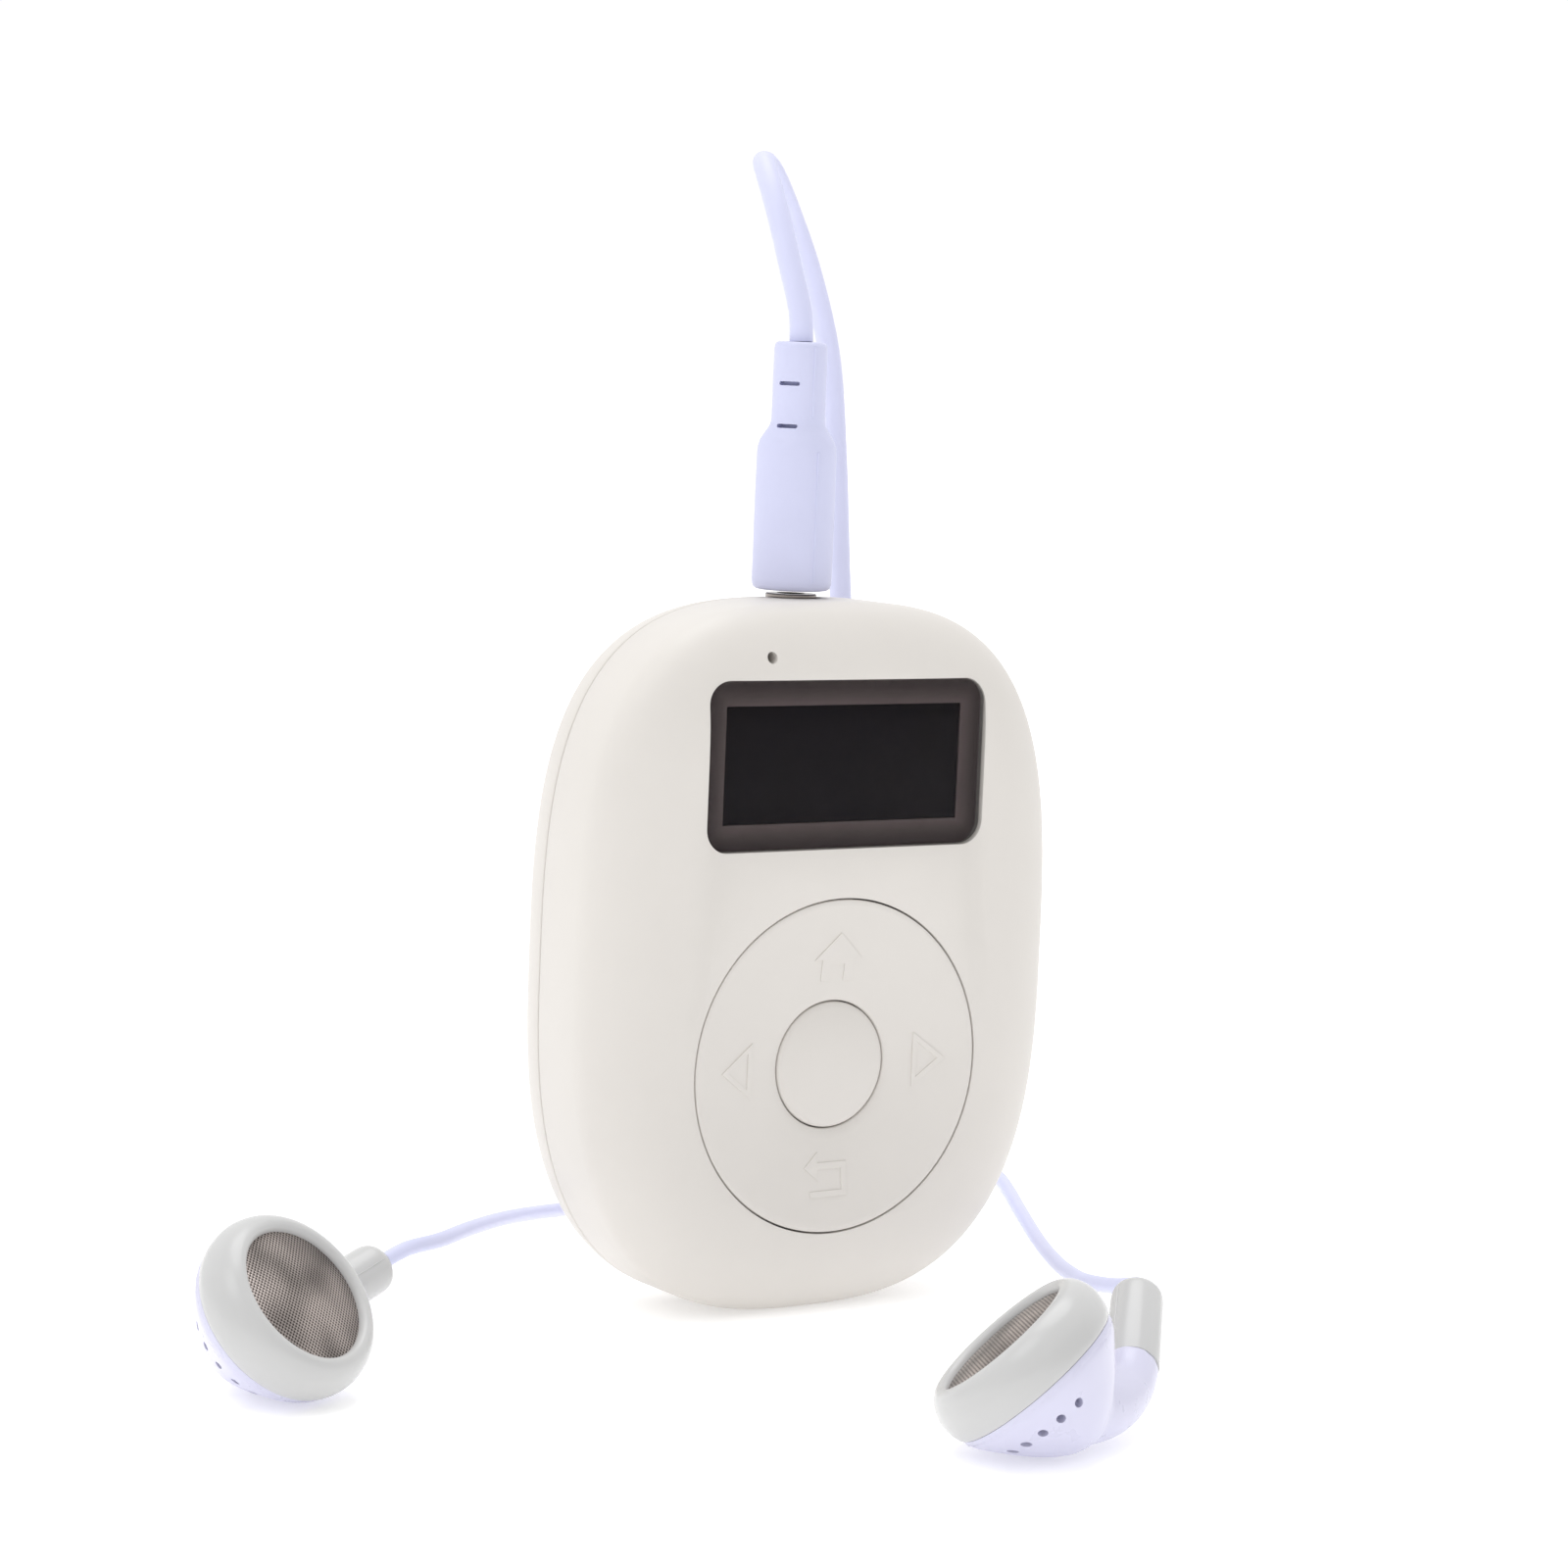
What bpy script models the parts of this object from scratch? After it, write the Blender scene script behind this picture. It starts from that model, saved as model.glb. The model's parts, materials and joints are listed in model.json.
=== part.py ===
"""Pocket digital audio player with its earphones plugged in.

Metres, +Z up.  The player stands upright with its face towards -Y, so -X is
the player's left as it is looked at.  The origin is under the middle of the
player, on the surface that it stands on.  Sizes below are millimetres.
"""
import math

import bmesh
import bpy
from mathutils import Euler, Matrix, Vector

MM = 0.001

# Player body: a rounded outline, a deep front shell and a shallower rear cover
HALF_WIDTH = 23.7
WIDEST_Z = 29.5
TOP_RISE = 31.1
BOTTOM_DROP = 29.5
TOP_SQUARENESS = 3.1
BOTTOM_SQUARENESS = 2.75
OUTLINE_POINTS = 56
FACE_Y = -7.8
BACK_Y = 8.2
PARTING_Y = 2.1
WALL = 1.4
GAP = 0.3
FACE_ROUND_IN = 7.6
FACE_ROUND_DEEP = 4.4
BACK_ROUND_IN = 5.6
LIP_FRONT_Y = 0.8
LIP_THICKNESS = 0.8

# Screen
SCREEN_Z = 47.2
LENS_HALF = (13.9, 7.0)
LENS_CORNER = 2.0
LENS_WINDOW_GAP = 0.2
LENS_CROWN_Y = -8.2
POCKET_IN = 1.3
DISPLAY_HALF = (12.2, 5.5)

# Control ring and centre button
RING_Z = 21.5
RING_OUTER_R = 14.1
RING_INNER_R = 5.53
RING_FLANGE_R = 15.2
RING_OPENING_R = 14.4
BUTTON_R = 5.23
PIVOT_Y = -4.5
PIN_R = 0.3
PIN_GAP = 0.07
SWITCH_ORBIT_R = 11.3

# Board, jack and plug
BOARD_FRONT_Y = -3.3
BOARD_BACK_Y = -2.3
BOARD_IN = 3.0
BOARD_POINTS = 40
JACK_Y = 2.1
JACK_BORE_R = 1.83
JACK_OPENING_R = 2.6
CASE_SCREW_X = 13.4
CASE_SCREW_Z = 9.0
BOARD_SCREW_X = 17.8
BOARD_SCREW_Z = 31.5
MIC_X = -7.9
MIC_Z = 56.2
SLIDER_Y = -1.2
SLIDER_Z = 38.0
PLUG_R = 1.75
BOOT_R = 3.4
RELIEF_R = 2.25
BOOT_BOTTOM_Z = 61.2
RELIEF_TOP_Z = 82.3

# Earphone cord
CORD_D = 2.0
LEAD_D = 1.3
MAIN_COIL_CENTRE = (22.0, 32.0)
MAIN_COIL_R = (8.0, 14.2)
MAIN_COIL_Z = (0.75, 8.8)
TIE_ANGLE = 150.0
LEADS_COIL_CENTRE = (50.0, 57.0)
LEADS_COIL_R = (5.6, 9.9)
LEADS_COIL_Z = (0.3, 5.6)
SPLIT_START = (31.8, 45.2)
SPLIT_HEADING = 11.3

# Each earbud: where the middle of its grille is, which way the grille faces
# (azimuth, elevation) and how far the stem is turned about that direction
EARBUDS = {
    "left": {"centre": (-53.4, -14.4, 8.5), "azimuth": -65.7, "elevation": 39.3, "turn": 189.0},
    "right": {"centre": (-13.5, -50.0, 8.85), "azimuth": 142.9, "elevation": 46.6, "turn": 337.0},
}
STEM_START = (11.45, -10.0)
STEM_END = (20.0, -7.2)
STEM_R = 2.1
VENTS = 5
VENT_SPACING = 18.0
VENT_MIDDLE = 188.0

# Routes of the cord where it isn't coiled, chosen by hand
MAIN_CORD_ROUTE = [
    (0.0, 2.1, 82.6), (0.0, 2.4, 84.8), (-0.1, 4.0, 88.5), (0.0, 6.2, 92.7), (0.7, 9.2, 96.2),
    (2.2, 12.2, 97.7), (4.9, 14.6, 96.8), (8.5, 17.0, 93.4), (12.4, 19.0, 88.0), (15.5, 20.2, 80.8),
    (17.1, 20.8, 71.6), (18.2, 20.9, 60.0), (19.6, 20.8, 48.0), (21.8, 20.6, 36.0), (24.2, 20.4, 25.5),
    (24.8, 20.4, 18.0), (23.4, 20.6, 12.8), (20.4, 21.0, 10.4), (16.6, 21.9, 10.2),
]
LEFT_LEAD_ROUTE = [
    (-38.2, 0.7, 6.5), (-35.6, 1.6, 7.1), (-31.3, 4.0, 6.9), (-25.0, 9.8, 6.2), (-17.3, 17.3, 4.9),
    (-9.6, 24.2, 3.4), (-3.4, 29.4, 2.2), (1.6, 35.2, 1.2), (5.4, 42.0, 0.95),
    (10.4, 48.8, 0.95), (18.0, 56.2, 0.95), (28.0, 62.4, 1.0), (36.4, 65.6, 1.6), (43.7, 66.1, 2.2),
]
RIGHT_LEAD_ROUTE = [
    (6.3, -41.5, 9.15), (7.2, -40.2, 9.6), (7.8, -38.2, 9.2), (8.3, -35.6, 8.2), (9.7, -31.4, 7.0),
    (12.5, -26.1, 6.0), (18.9, -15.3, 4.3), (28.5, -0.1, 2.4), (39.3, 16.9, 1.0), (44.6, 25.6, 0.95),
    (47.8, 31.6, 0.95), (49.0, 36.4, 0.95), (48.2, 41.0, 1.9), (46.6, 44.6, 3.9), (45.0, 47.4, 4.8),
]

PARTS = None
CUTTERS = None
MATERIALS = {}


# ---------------------------------------------------------------- materials
PALETTE = {
    "shell_plastic": ((0.80, 0.765, 0.69), 0.45, 0.0),
    "button_plastic": ((0.79, 0.75, 0.67), 0.42, 0.0),
    "smoked_lens": ((0.17, 0.14, 0.14), 0.06, 0.0),
    "display_glass": ((0.010, 0.011, 0.014), 0.12, 0.0),
    "black_foam": ((0.03, 0.03, 0.03), 0.95, 0.0),
    "amber_film": ((0.55, 0.26, 0.05), 0.35, 0.0),
    "circuit_green": ((0.02, 0.16, 0.07), 0.40, 0.0),
    "black_resin": ((0.025, 0.025, 0.028), 0.50, 0.0),
    "bright_metal": ((0.72, 0.72, 0.74), 0.25, 1.0),
    "dark_chrome": ((0.42, 0.39, 0.37), 0.22, 1.0),
    "gold_plate": ((0.85, 0.62, 0.25), 0.25, 1.0),
    "steel": ((0.50, 0.50, 0.52), 0.35, 1.0),
    "battery_foil": ((0.66, 0.67, 0.70), 0.38, 0.6),
    "red_wire": ((0.55, 0.03, 0.03), 0.50, 0.0),
    "black_wire": ((0.02, 0.02, 0.02), 0.50, 0.0),
    "cord_plastic": ((0.72, 0.73, 0.86), 0.42, 0.0),
    "earbud_shell": ((0.74, 0.75, 0.88), 0.30, 0.0),
    "earbud_grey": ((0.58, 0.58, 0.57), 0.28, 0.0),
    "grille_metal": ((0.50, 0.42, 0.38), 0.35, 1.0),
    "diaphragm_film": ((0.45, 0.42, 0.36), 0.30, 0.0),
    "tie_black": ((0.04, 0.04, 0.045), 0.70, 0.0),
}


def material(slot):
    """Return the named material, made the first time that it is asked for."""
    if slot not in MATERIALS:
        colour, roughness, metallic = PALETTE[slot]
        made = bpy.data.materials.new(slot)
        made.use_nodes = True
        shader = made.node_tree.nodes["Principled BSDF"]
        shader.inputs["Base Color"].default_value = (*colour, 1.0)
        shader.inputs["Roughness"].default_value = roughness
        shader.inputs["Metallic"].default_value = metallic
        made.diffuse_color = (*colour, 1.0)
        MATERIALS[slot] = made
    return MATERIALS[slot]


# ------------------------------------------------------------ shape helpers
def clear_scene():
    for thing in list(bpy.data.objects):
        bpy.data.objects.remove(thing, do_unlink=True)


def new_collection(name):
    made = bpy.data.collections.new(name)
    bpy.context.scene.collection.children.link(made)
    return made


def add_object(name, mesh, slot=None, matrix=None):
    """Link a mesh as a part, or as a hidden cutter where it has no material."""
    thing = bpy.data.objects.new(name, mesh)
    if slot is None:
        CUTTERS.objects.link(thing)
        thing.hide_render = True
        thing.display_type = "WIRE"
    else:
        mesh.materials.clear()
        mesh.materials.append(material(slot))
        PARTS.objects.link(thing)
    if matrix is not None:
        thing.matrix_world = matrix
    return thing


def mesh_from(name, form, smooth_angle=35.0):
    """Turn a bmesh in millimetres into a mesh in metres, shaded by its angles."""
    bmesh.ops.scale(form, vec=(MM, MM, MM), verts=form.verts)
    bmesh.ops.recalc_face_normals(form, faces=form.faces)
    mesh = bpy.data.meshes.new(name)
    form.to_mesh(mesh)
    form.free()
    mesh.shade_smooth()
    mesh.set_sharp_from_angle(angle=math.radians(smooth_angle))
    return mesh


def at(x, y, z):
    return Matrix.Translation(Vector((x, y, z)) * MM)


def facing_front(x, z):
    """A frame on the face: its own +Z comes out of the face, at world -Y."""
    return at(x, 0.0, z) @ Matrix.Rotation(math.radians(90.0), 4, "X")


def box(name, low, high, slot=None, bevel=0.0, frame=None):
    """A box between two corners given in a frame, or in the world."""
    form = bmesh.new()
    size = [b - a for a, b in zip(low, high)]
    centre = [(a + b) / 2 for a, b in zip(low, high)]
    bmesh.ops.create_cube(form, size=1.0)
    bmesh.ops.scale(form, vec=size, verts=form.verts)
    base = frame if frame is not None else Matrix.Identity(4)
    thing = add_object(name, mesh_from(name, form), slot, base @ at(*centre))
    if bevel:
        add_bevel(thing, bevel)
    return thing


def add_bevel(thing, width, segments=2):
    modifier = thing.modifiers.new("rounded_edges", "BEVEL")
    modifier.width = width * MM
    modifier.segments = segments
    modifier.limit_method = "ANGLE"


def cylinder(name, radius, low, high, slot=None, matrix=None, sides=24):
    """A cylinder along its frame's Z, from height low to height high."""
    form = bmesh.new()
    bmesh.ops.create_cone(form, cap_ends=True, segments=sides, radius1=radius, radius2=radius, depth=high - low)
    bmesh.ops.translate(form, vec=(0.0, 0.0, (low + high) / 2), verts=form.verts)
    return add_object(name, mesh_from(name, form), slot, matrix)


def turned(name, profile, slot=None, matrix=None, sides=32, closed=False):
    """A turned piece: (radius, height) points, down the outer side from the top."""
    mesh = bpy.data.meshes.new(name)
    points = [(radius * MM, 0.0, height * MM) for radius, height in profile]
    edges = [(i, i + 1) for i in range(len(points) - 1)]
    if closed:
        edges.append((len(points) - 1, 0))
    mesh.from_pydata(points, edges, [])
    thing = add_object(name, mesh, slot, matrix)
    modifier = thing.modifiers.new("turn", "SCREW")
    modifier.angle = 2.0 * math.pi
    modifier.axis = "Z"
    modifier.steps = sides
    modifier.render_steps = sides
    modifier.use_merge_vertices = True
    modifier.merge_threshold = 0.00001
    modifier.use_smooth_shade = True
    return thing


def loft(name, sections, slot=None, matrix=None):
    """A closed solid through sections with the same number of points each."""
    form = bmesh.new()
    rings = [[form.verts.new(point) for point in section] for section in sections]
    count = len(rings[0])
    for near, far in zip(rings, rings[1:]):
        for i in range(count):
            j = (i + 1) % count
            form.faces.new((near[i], near[j], far[j], far[i]))
    form.faces.new(rings[0])
    form.faces.new(rings[-1])
    return add_object(name, mesh_from(name, form), slot, matrix)


def curve_to_mesh(curve_object, name, slot, weld=0.00001):
    """Replace a curve object by the welded mesh of the same shape."""
    view = bpy.context.evaluated_depsgraph_get()
    mesh = bpy.data.meshes.new_from_object(curve_object.evaluated_get(view))
    mesh.name = name
    form = bmesh.new()
    form.from_mesh(mesh)
    bmesh.ops.remove_doubles(form, verts=form.verts, dist=weld)
    bmesh.ops.recalc_face_normals(form, faces=form.faces)
    form.to_mesh(mesh)
    form.free()
    mesh.shade_smooth()
    mesh.set_sharp_from_angle(angle=math.radians(35.0))
    matrix = curve_object.matrix_world.copy()
    bpy.data.objects.remove(curve_object, do_unlink=True)
    return add_object(name, mesh, slot, matrix)


def plate(name, outline, low, high, slot=None, matrix=None):
    """A flat outline in its frame's XY plane, filled from height low to high."""
    data = bpy.data.curves.new(name, "CURVE")
    data.dimensions = "2D"
    data.fill_mode = "BOTH"
    data.extrude = (high - low) / 2 * MM
    spline = data.splines.new("POLY")
    spline.points.add(len(outline) - 1)
    for point, (x, y) in zip(spline.points, outline):
        point.co = (x * MM, y * MM, 0.0, 1.0)
    spline.use_cyclic_u = True
    thing = bpy.data.objects.new(name + "_outline", data)
    bpy.context.scene.collection.objects.link(thing)
    base = matrix if matrix is not None else Matrix.Identity(4)
    thing.matrix_world = base @ Matrix.Translation((0.0, 0.0, (low + high) / 2 * MM))
    bpy.context.view_layer.update()
    return curve_to_mesh(thing, name, slot)


def tube(name, points, diameter, slot):
    """A round tube with closed ends through points in millimetres."""
    data = bpy.data.curves.new(name, "CURVE")
    data.dimensions = "3D"
    data.bevel_depth = diameter / 2 * MM
    data.bevel_resolution = 2
    data.use_fill_caps = True
    spline = data.splines.new("POLY")
    spline.points.add(len(points) - 1)
    for point, place in zip(spline.points, points):
        point.co = (*(Vector(place) * MM), 1.0)
    thing = bpy.data.objects.new(name + "_path", data)
    bpy.context.scene.collection.objects.link(thing)
    bpy.context.view_layer.update()
    return curve_to_mesh(thing, name, slot)


def combine(thing, other, operation):
    """Cut, join or intersect one solid with another by a Boolean modifier."""
    modifier = thing.modifiers.new(other.name, "BOOLEAN")
    modifier.operation = operation
    modifier.object = other
    modifier.solver = "EXACT"


def cut(thing, *cutters):
    for cutter in cutters:
        combine(thing, cutter, "DIFFERENCE")


def join(thing, *additions):
    for addition in additions:
        combine(thing, addition, "UNION")


def smooth_path(route, step):
    """Points about one step apart on a smooth curve through a route's points."""
    knots = [Vector(point) for point in route]
    knots = [knots[0] * 2 - knots[1]] + knots + [knots[-1] * 2 - knots[-2]]
    dense = []
    fine = 24
    for a, b, c, d in zip(knots, knots[1:], knots[2:], knots[3:]):
        for i in range(fine):
            t = i / fine
            dense.append(0.5 * (2 * b + (c - a) * t + (2 * a - 5 * b + 4 * c - d) * t ** 2
                                + (3 * b - a - 3 * c + d) * t ** 3))
    dense.append(knots[-2])
    lengths = [0.0]
    for a, b in zip(dense, dense[1:]):
        lengths.append(lengths[-1] + (b - a).length)
    count = max(2, round(lengths[-1] / step))
    path = []
    place = 0
    for i in range(count + 1):
        wanted = lengths[-1] * i / count
        while place < len(lengths) - 2 and lengths[place + 1] < wanted:
            place += 1
        share = (wanted - lengths[place]) / (lengths[place + 1] - lengths[place])
        path.append(dense[place].lerp(dense[place + 1], min(1.0, share)))
    return path


def rounded_rectangle(half_width, half_height, corner, arc_points=5):
    """Outline of a rectangle with round corners, anticlockwise."""
    outline = []
    for quarter, (sx, sy) in enumerate(((1, 1), (-1, 1), (-1, -1), (1, -1))):
        for i in range(arc_points):
            angle = math.radians(90.0) * (quarter + i / (arc_points - 1))
            outline.append((sx * (half_width - corner) + corner * math.cos(angle),
                            sy * (half_height - corner) + corner * math.sin(angle)))
    return outline


# ------------------------------------------------------------- player body
def body_outline(inset=0.0, count=OUTLINE_POINTS):
    """(x, z) points of the player's outline, moved inwards by the inset."""
    points = []
    for i in range(count):
        angle = 2 * math.pi * i / count
        across, up = math.cos(angle), math.sin(angle)
        squareness = TOP_SQUARENESS if up >= 0 else BOTTOM_SQUARENESS
        reach = TOP_RISE if up >= 0 else BOTTOM_DROP
        x = HALF_WIDTH * math.copysign(abs(across) ** (2 / squareness), across)
        z = WIDEST_Z + reach * math.copysign(abs(up) ** (2 / squareness), up)
        points.append(Vector((x, z)))
    moved = []
    for i, point in enumerate(points):
        along = points[(i + 1) % count] - points[i - 1]
        inward = Vector((-along.y, along.x)).normalized()
        moved.append(point + inward * inset)
    return moved


def body_section(inset, y):
    return [(point.x, y, point.y) for point in body_outline(inset)]


def rounded_edge(inset, depth, start, forward, angles, wall=0.0):
    """(inset, y) along the elliptical edge between a flank and a flat face.

    start is the y of the flat face, and forward is +1 where the body lies
    towards +Y from it.  wall moves the line into the body by its thickness.
    """
    line = []
    for angle in angles:
        c, s = math.cos(math.radians(angle)), math.sin(math.radians(angle))
        steep = math.hypot(depth * c, inset * s)
        line.append((inset * (1 - c) + wall * depth * c / steep,
                     start + forward * (depth * (1 - s) + wall * inset * s / steep)))
    return line


def boss(name, x, z, radius, y_front, y_back):
    return cylinder(name, radius, -y_back, -y_front, None, facing_front(x, z), 20)


def make_front_shell():
    outer = rounded_edge(FACE_ROUND_IN, FACE_ROUND_DEEP, FACE_Y, 1, (90, 74, 56, 38, 20, 0))
    inner = rounded_edge(FACE_ROUND_IN, FACE_ROUND_DEEP, FACE_Y, 1, (0, 30, 60, 90), WALL)
    rim_y = PARTING_Y - GAP / 2
    line = outer + [(0.0, rim_y), (WALL, rim_y)] + inner
    shell = loft("front_shell", [body_section(inset, y) for inset, y in line], "shell_plastic")
    window = rounded_rectangle(LENS_HALF[0] + LENS_WINDOW_GAP, LENS_HALF[1] + LENS_WINDOW_GAP, LENS_CORNER + 0.2)
    cutters = [
        plate("window_cutter", window, 4.0, 10.0, None, facing_front(0.0, SCREEN_Z)),
        cylinder("ring_opening_cutter", RING_OPENING_R, 4.0, 10.0, None, facing_front(0.0, RING_Z), 48),
        cylinder("mic_hole_cutter", 0.5, 3.0, 10.0, None, facing_front(MIC_X, MIC_Z), 12),
        cylinder("front_jack_cutter", JACK_OPENING_R, 57.0, 63.0, None, at(0.0, JACK_Y, 0.0)),
        box("usb_slot_cutter", (-4.1, -2.3, -1.0), (4.1, 0.9, 3.0)),
        box("slider_slot_cutter", (20.0, SLIDER_Y - 0.9, 36.5), (25.0, SLIDER_Y + 0.9, 41.5)),
    ]
    for side, x in (("left", -CASE_SCREW_X), ("right", CASE_SCREW_X)):
        join(shell, boss(side + "_case_boss", x, CASE_SCREW_Z, 2.0, FACE_Y + 0.9, 4.0))
        cutters.append(boss(side + "_case_boss_hole", x, CASE_SCREW_Z, 0.9, -2.0, 4.5))
    for side, x in (("left", -BOARD_SCREW_X), ("right", BOARD_SCREW_X)):
        join(shell, boss(side + "_board_post", x, BOARD_SCREW_Z, 1.6, FACE_Y + 0.9, BOARD_FRONT_Y - 0.2))
        cutters.append(boss(side + "_board_post_hole", x, BOARD_SCREW_Z, 0.8, -6.0, BOARD_FRONT_Y))
    cut(shell, *cutters)


def make_rear_cover():
    depth = BACK_Y - PARTING_Y - GAP / 2
    lip_out = WALL + GAP
    lip_in = lip_out + LIP_THICKNESS
    outer = rounded_edge(BACK_ROUND_IN, depth, BACK_Y, -1, (90, 72, 54, 36, 18, 0))
    inner = rounded_edge(BACK_ROUND_IN, depth, BACK_Y, -1, (50, 70, 90), WALL)
    lip = [(lip_out, outer[-1][1]), (lip_out, LIP_FRONT_Y), (lip_in, LIP_FRONT_Y), (lip_in, 3.6)]
    cover = loft("rear_cover", [body_section(inset, y) for inset, y in outer + lip + inner], "shell_plastic")
    for side, x in (("left", -CASE_SCREW_X), ("right", CASE_SCREW_X)):
        join(cover, boss(side + "_cover_boss", x, CASE_SCREW_Z, 2.6, 4.3, 7.4))
        cut(cover, boss(side + "_cover_hole", x, CASE_SCREW_Z, 1.0, 3.8, 9.0),
            boss(side + "_cover_recess", x, CASE_SCREW_Z, 1.75, 6.5, 9.0))
    cut(cover, cylinder("rear_jack_cutter", JACK_OPENING_R, 53.0, 63.0, None, at(0.0, JACK_Y, 0.0)))


def make_fasteners():
    for side, x in (("left", -CASE_SCREW_X), ("right", CASE_SCREW_X)):
        frame = facing_front(x, CASE_SCREW_Z) @ Matrix.Rotation(math.pi, 4, "X")
        profile = [(0.0, 7.6), (1.35, 7.6), (1.5, 7.4), (1.5, 6.7), (0.78, 6.7), (0.78, -1.2), (0.0, -1.6)]
        turned(side + "_case_screw", profile, "steel", frame, 16)
    for side, x in (("left", -BOARD_SCREW_X), ("right", BOARD_SCREW_X)):
        frame = facing_front(x, BOARD_SCREW_Z) @ Matrix.Rotation(math.pi, 4, "X")
        profile = [(0.0, -1.5), (1.2, -1.5), (1.35, -1.7), (1.35, -2.15), (0.68, -2.15), (0.68, -5.4), (0.0, -5.7)]
        turned(side + "_board_screw", profile, "steel", frame, 14)


# ------------------------------------------------------------------ screen
def make_screen():
    sections = []
    crown = ((5.5, LENS_CROWN_Y), (3.0, -8.12), (1.3, -7.98), (0.4, -7.74), (0.0, -7.35))
    flange = ((0.0, -5.2), (-0.75, -5.2), (-0.75, -4.6))
    pocket = ((POCKET_IN, -4.6), (POCKET_IN, -6.85))
    for inset, y in crown + flange + pocket:
        corner = max(0.5, LENS_CORNER - inset)
        outline = rounded_rectangle(LENS_HALF[0] - inset, LENS_HALF[1] - inset, corner)
        sections.append([(x, y, SCREEN_Z + z) for x, z in outline])
    loft("screen_lens", sections, "smoked_lens")
    w, h = DISPLAY_HALF
    box("display_panel", (-w, -6.55, SCREEN_Z - h), (w, -5.15, SCREEN_Z + h), "display_glass", 0.15)
    box("display_cushion", (-11.5, -4.85, SCREEN_Z - 3.4), (11.5, -3.6, SCREEN_Z + 5.0), "black_foam", 0.2)
    make_display_ribbon()


def make_display_ribbon():
    """The flat cable folds under the display and lies on the board's front."""
    thick = 0.2
    path = [(-4.95, 43.2), (-4.95, 42.2), (-4.35, 41.5), (-4.3, 39.4), (-3.8, 38.5), (-3.8, 36.6)]
    outline = path + [(y + thick, z - thick * 0.4) for y, z in reversed(path)]
    sections = [[(x, y, z) for y, z in outline] for x in (-4.0, 4.0)]
    loft("display_ribbon", sections, "amber_film")


# ---------------------------------------------------------------- controls
def make_controls():
    pivot = bpy.data.objects.new("ring_pivot", None)
    PARTS.objects.link(pivot)
    pivot.matrix_world = at(0.0, PIVOT_Y, RING_Z)
    bpy.context.view_layer.update()
    ring = make_ring()
    frame = make_pivot_frame()
    for piece in (ring, frame):
        piece.parent = pivot
        piece.matrix_parent_inverse = pivot.matrix_world.inverted()
    dome = [(0.0, 7.35), (2.0, 7.28), (3.8, 7.08), (4.9, 6.86), (BUTTON_R, 6.6), (BUTTON_R, 5.4),
            (6.0, 5.4), (6.0, 4.95), (0.0, 4.95)]
    turned("centre_button", dome, "button_plastic", facing_front(0.0, RING_Z), 28)
    make_ring_bracket()
    orbit = {"home": (0, 1), "next": (1, 0), "return": (0, -1), "previous": (-1, 0), "centre": (0, 0)}
    for key, (across, up) in orbit.items():
        make_switch("switch_" + key, across * SWITCH_ORBIT_R, RING_Z + up * SWITCH_ORBIT_R)


def pivot_bar(name, turn, radius, near, far):
    """A round bar out from the pivot's centre, turned in the plane of the face."""
    place = at(0.0, PIVOT_Y, RING_Z) @ Matrix.Rotation(math.radians(turn), 4, "Y")
    return cylinder(name, radius, near, far, None, place, 12)


def make_ring():
    """The ring dishes towards the button; two lugs behind it hold the upright pins."""
    dish = [
        (RING_INNER_R, 6.65), (RING_INNER_R + 0.15, 6.75), (9.8, 7.28), (13.9, 7.8), (RING_OUTER_R, 7.65),
        (RING_OUTER_R, 5.8), (RING_FLANGE_R, 5.8), (RING_FLANGE_R, 5.2), (9.7, 5.2), (9.7, 5.75),
        (RING_INNER_R, 5.75),
    ]
    ring = turned("control_ring", dish, "button_plastic", facing_front(0.0, RING_Z), 40, closed=True)
    for i, up in enumerate((8.9, -8.9)):
        join(ring, box("ring_lug_%d" % (i + 1), (-1.0, -6.0, RING_Z + up - 0.4), (1.0, -4.0, RING_Z + up + 0.4)))
        cut(ring, pivot_bar("ring_lug_hole_%d" % (i + 1), 180.0 * i, PIN_R + PIN_GAP, 8.0, 9.8))
    return ring


def make_pivot_frame():
    """The ring rocks on the upright pins, and the frame on the pins across."""
    frame = turned("ring_pivot_frame", [(6.4, 4.85), (8.3, 4.85), (8.3, 4.15), (6.4, 4.15)],
                   "bright_metal", facing_front(0.0, RING_Z), 24, closed=True)
    for turn in (0.0, 90.0, 180.0, 270.0):
        join(frame, pivot_bar("pivot_pin_%d" % turn, turn, PIN_R, 7.4, 9.4))
    return frame


def make_ring_bracket():
    """Fixed to the board; its two ears hold the pins across."""
    bracket = turned("ring_bracket", [(6.8, 3.8), (8.2, 3.8), (8.2, 3.45), (6.8, 3.45)],
                     "bright_metal", facing_front(0.0, RING_Z), 24, closed=True)
    for i, side in enumerate((1.0, -1.0)):
        near, far = sorted((side * 7.4, side * 9.3))
        join(bracket, box("bracket_foot_%d" % (i + 1), (near, -3.75, RING_Z - 1.0), (far, -3.5, RING_Z + 1.0)))
        near, far = sorted((side * 8.5, side * 9.3))
        join(bracket, box("bracket_ear_%d" % (i + 1), (near, -4.95, RING_Z - 1.0), (far, -3.5, RING_Z + 1.0)))
        cut(bracket, pivot_bar("bracket_hole_%d" % (i + 1), 90.0 + 180.0 * i, PIN_R + PIN_GAP, 8.0, 9.8))


def make_switch(name, x, z):
    half = 1.5
    top = -4.35 if name != "switch_centre" else -4.1
    body = box(name, (x - half, top, z - half), (x + half, BOARD_FRONT_Y - 0.15, z + half), "bright_metal")
    join(body, boss(name + "_plunger", x, z, 0.8, top - 0.3, top + 0.3))


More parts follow.
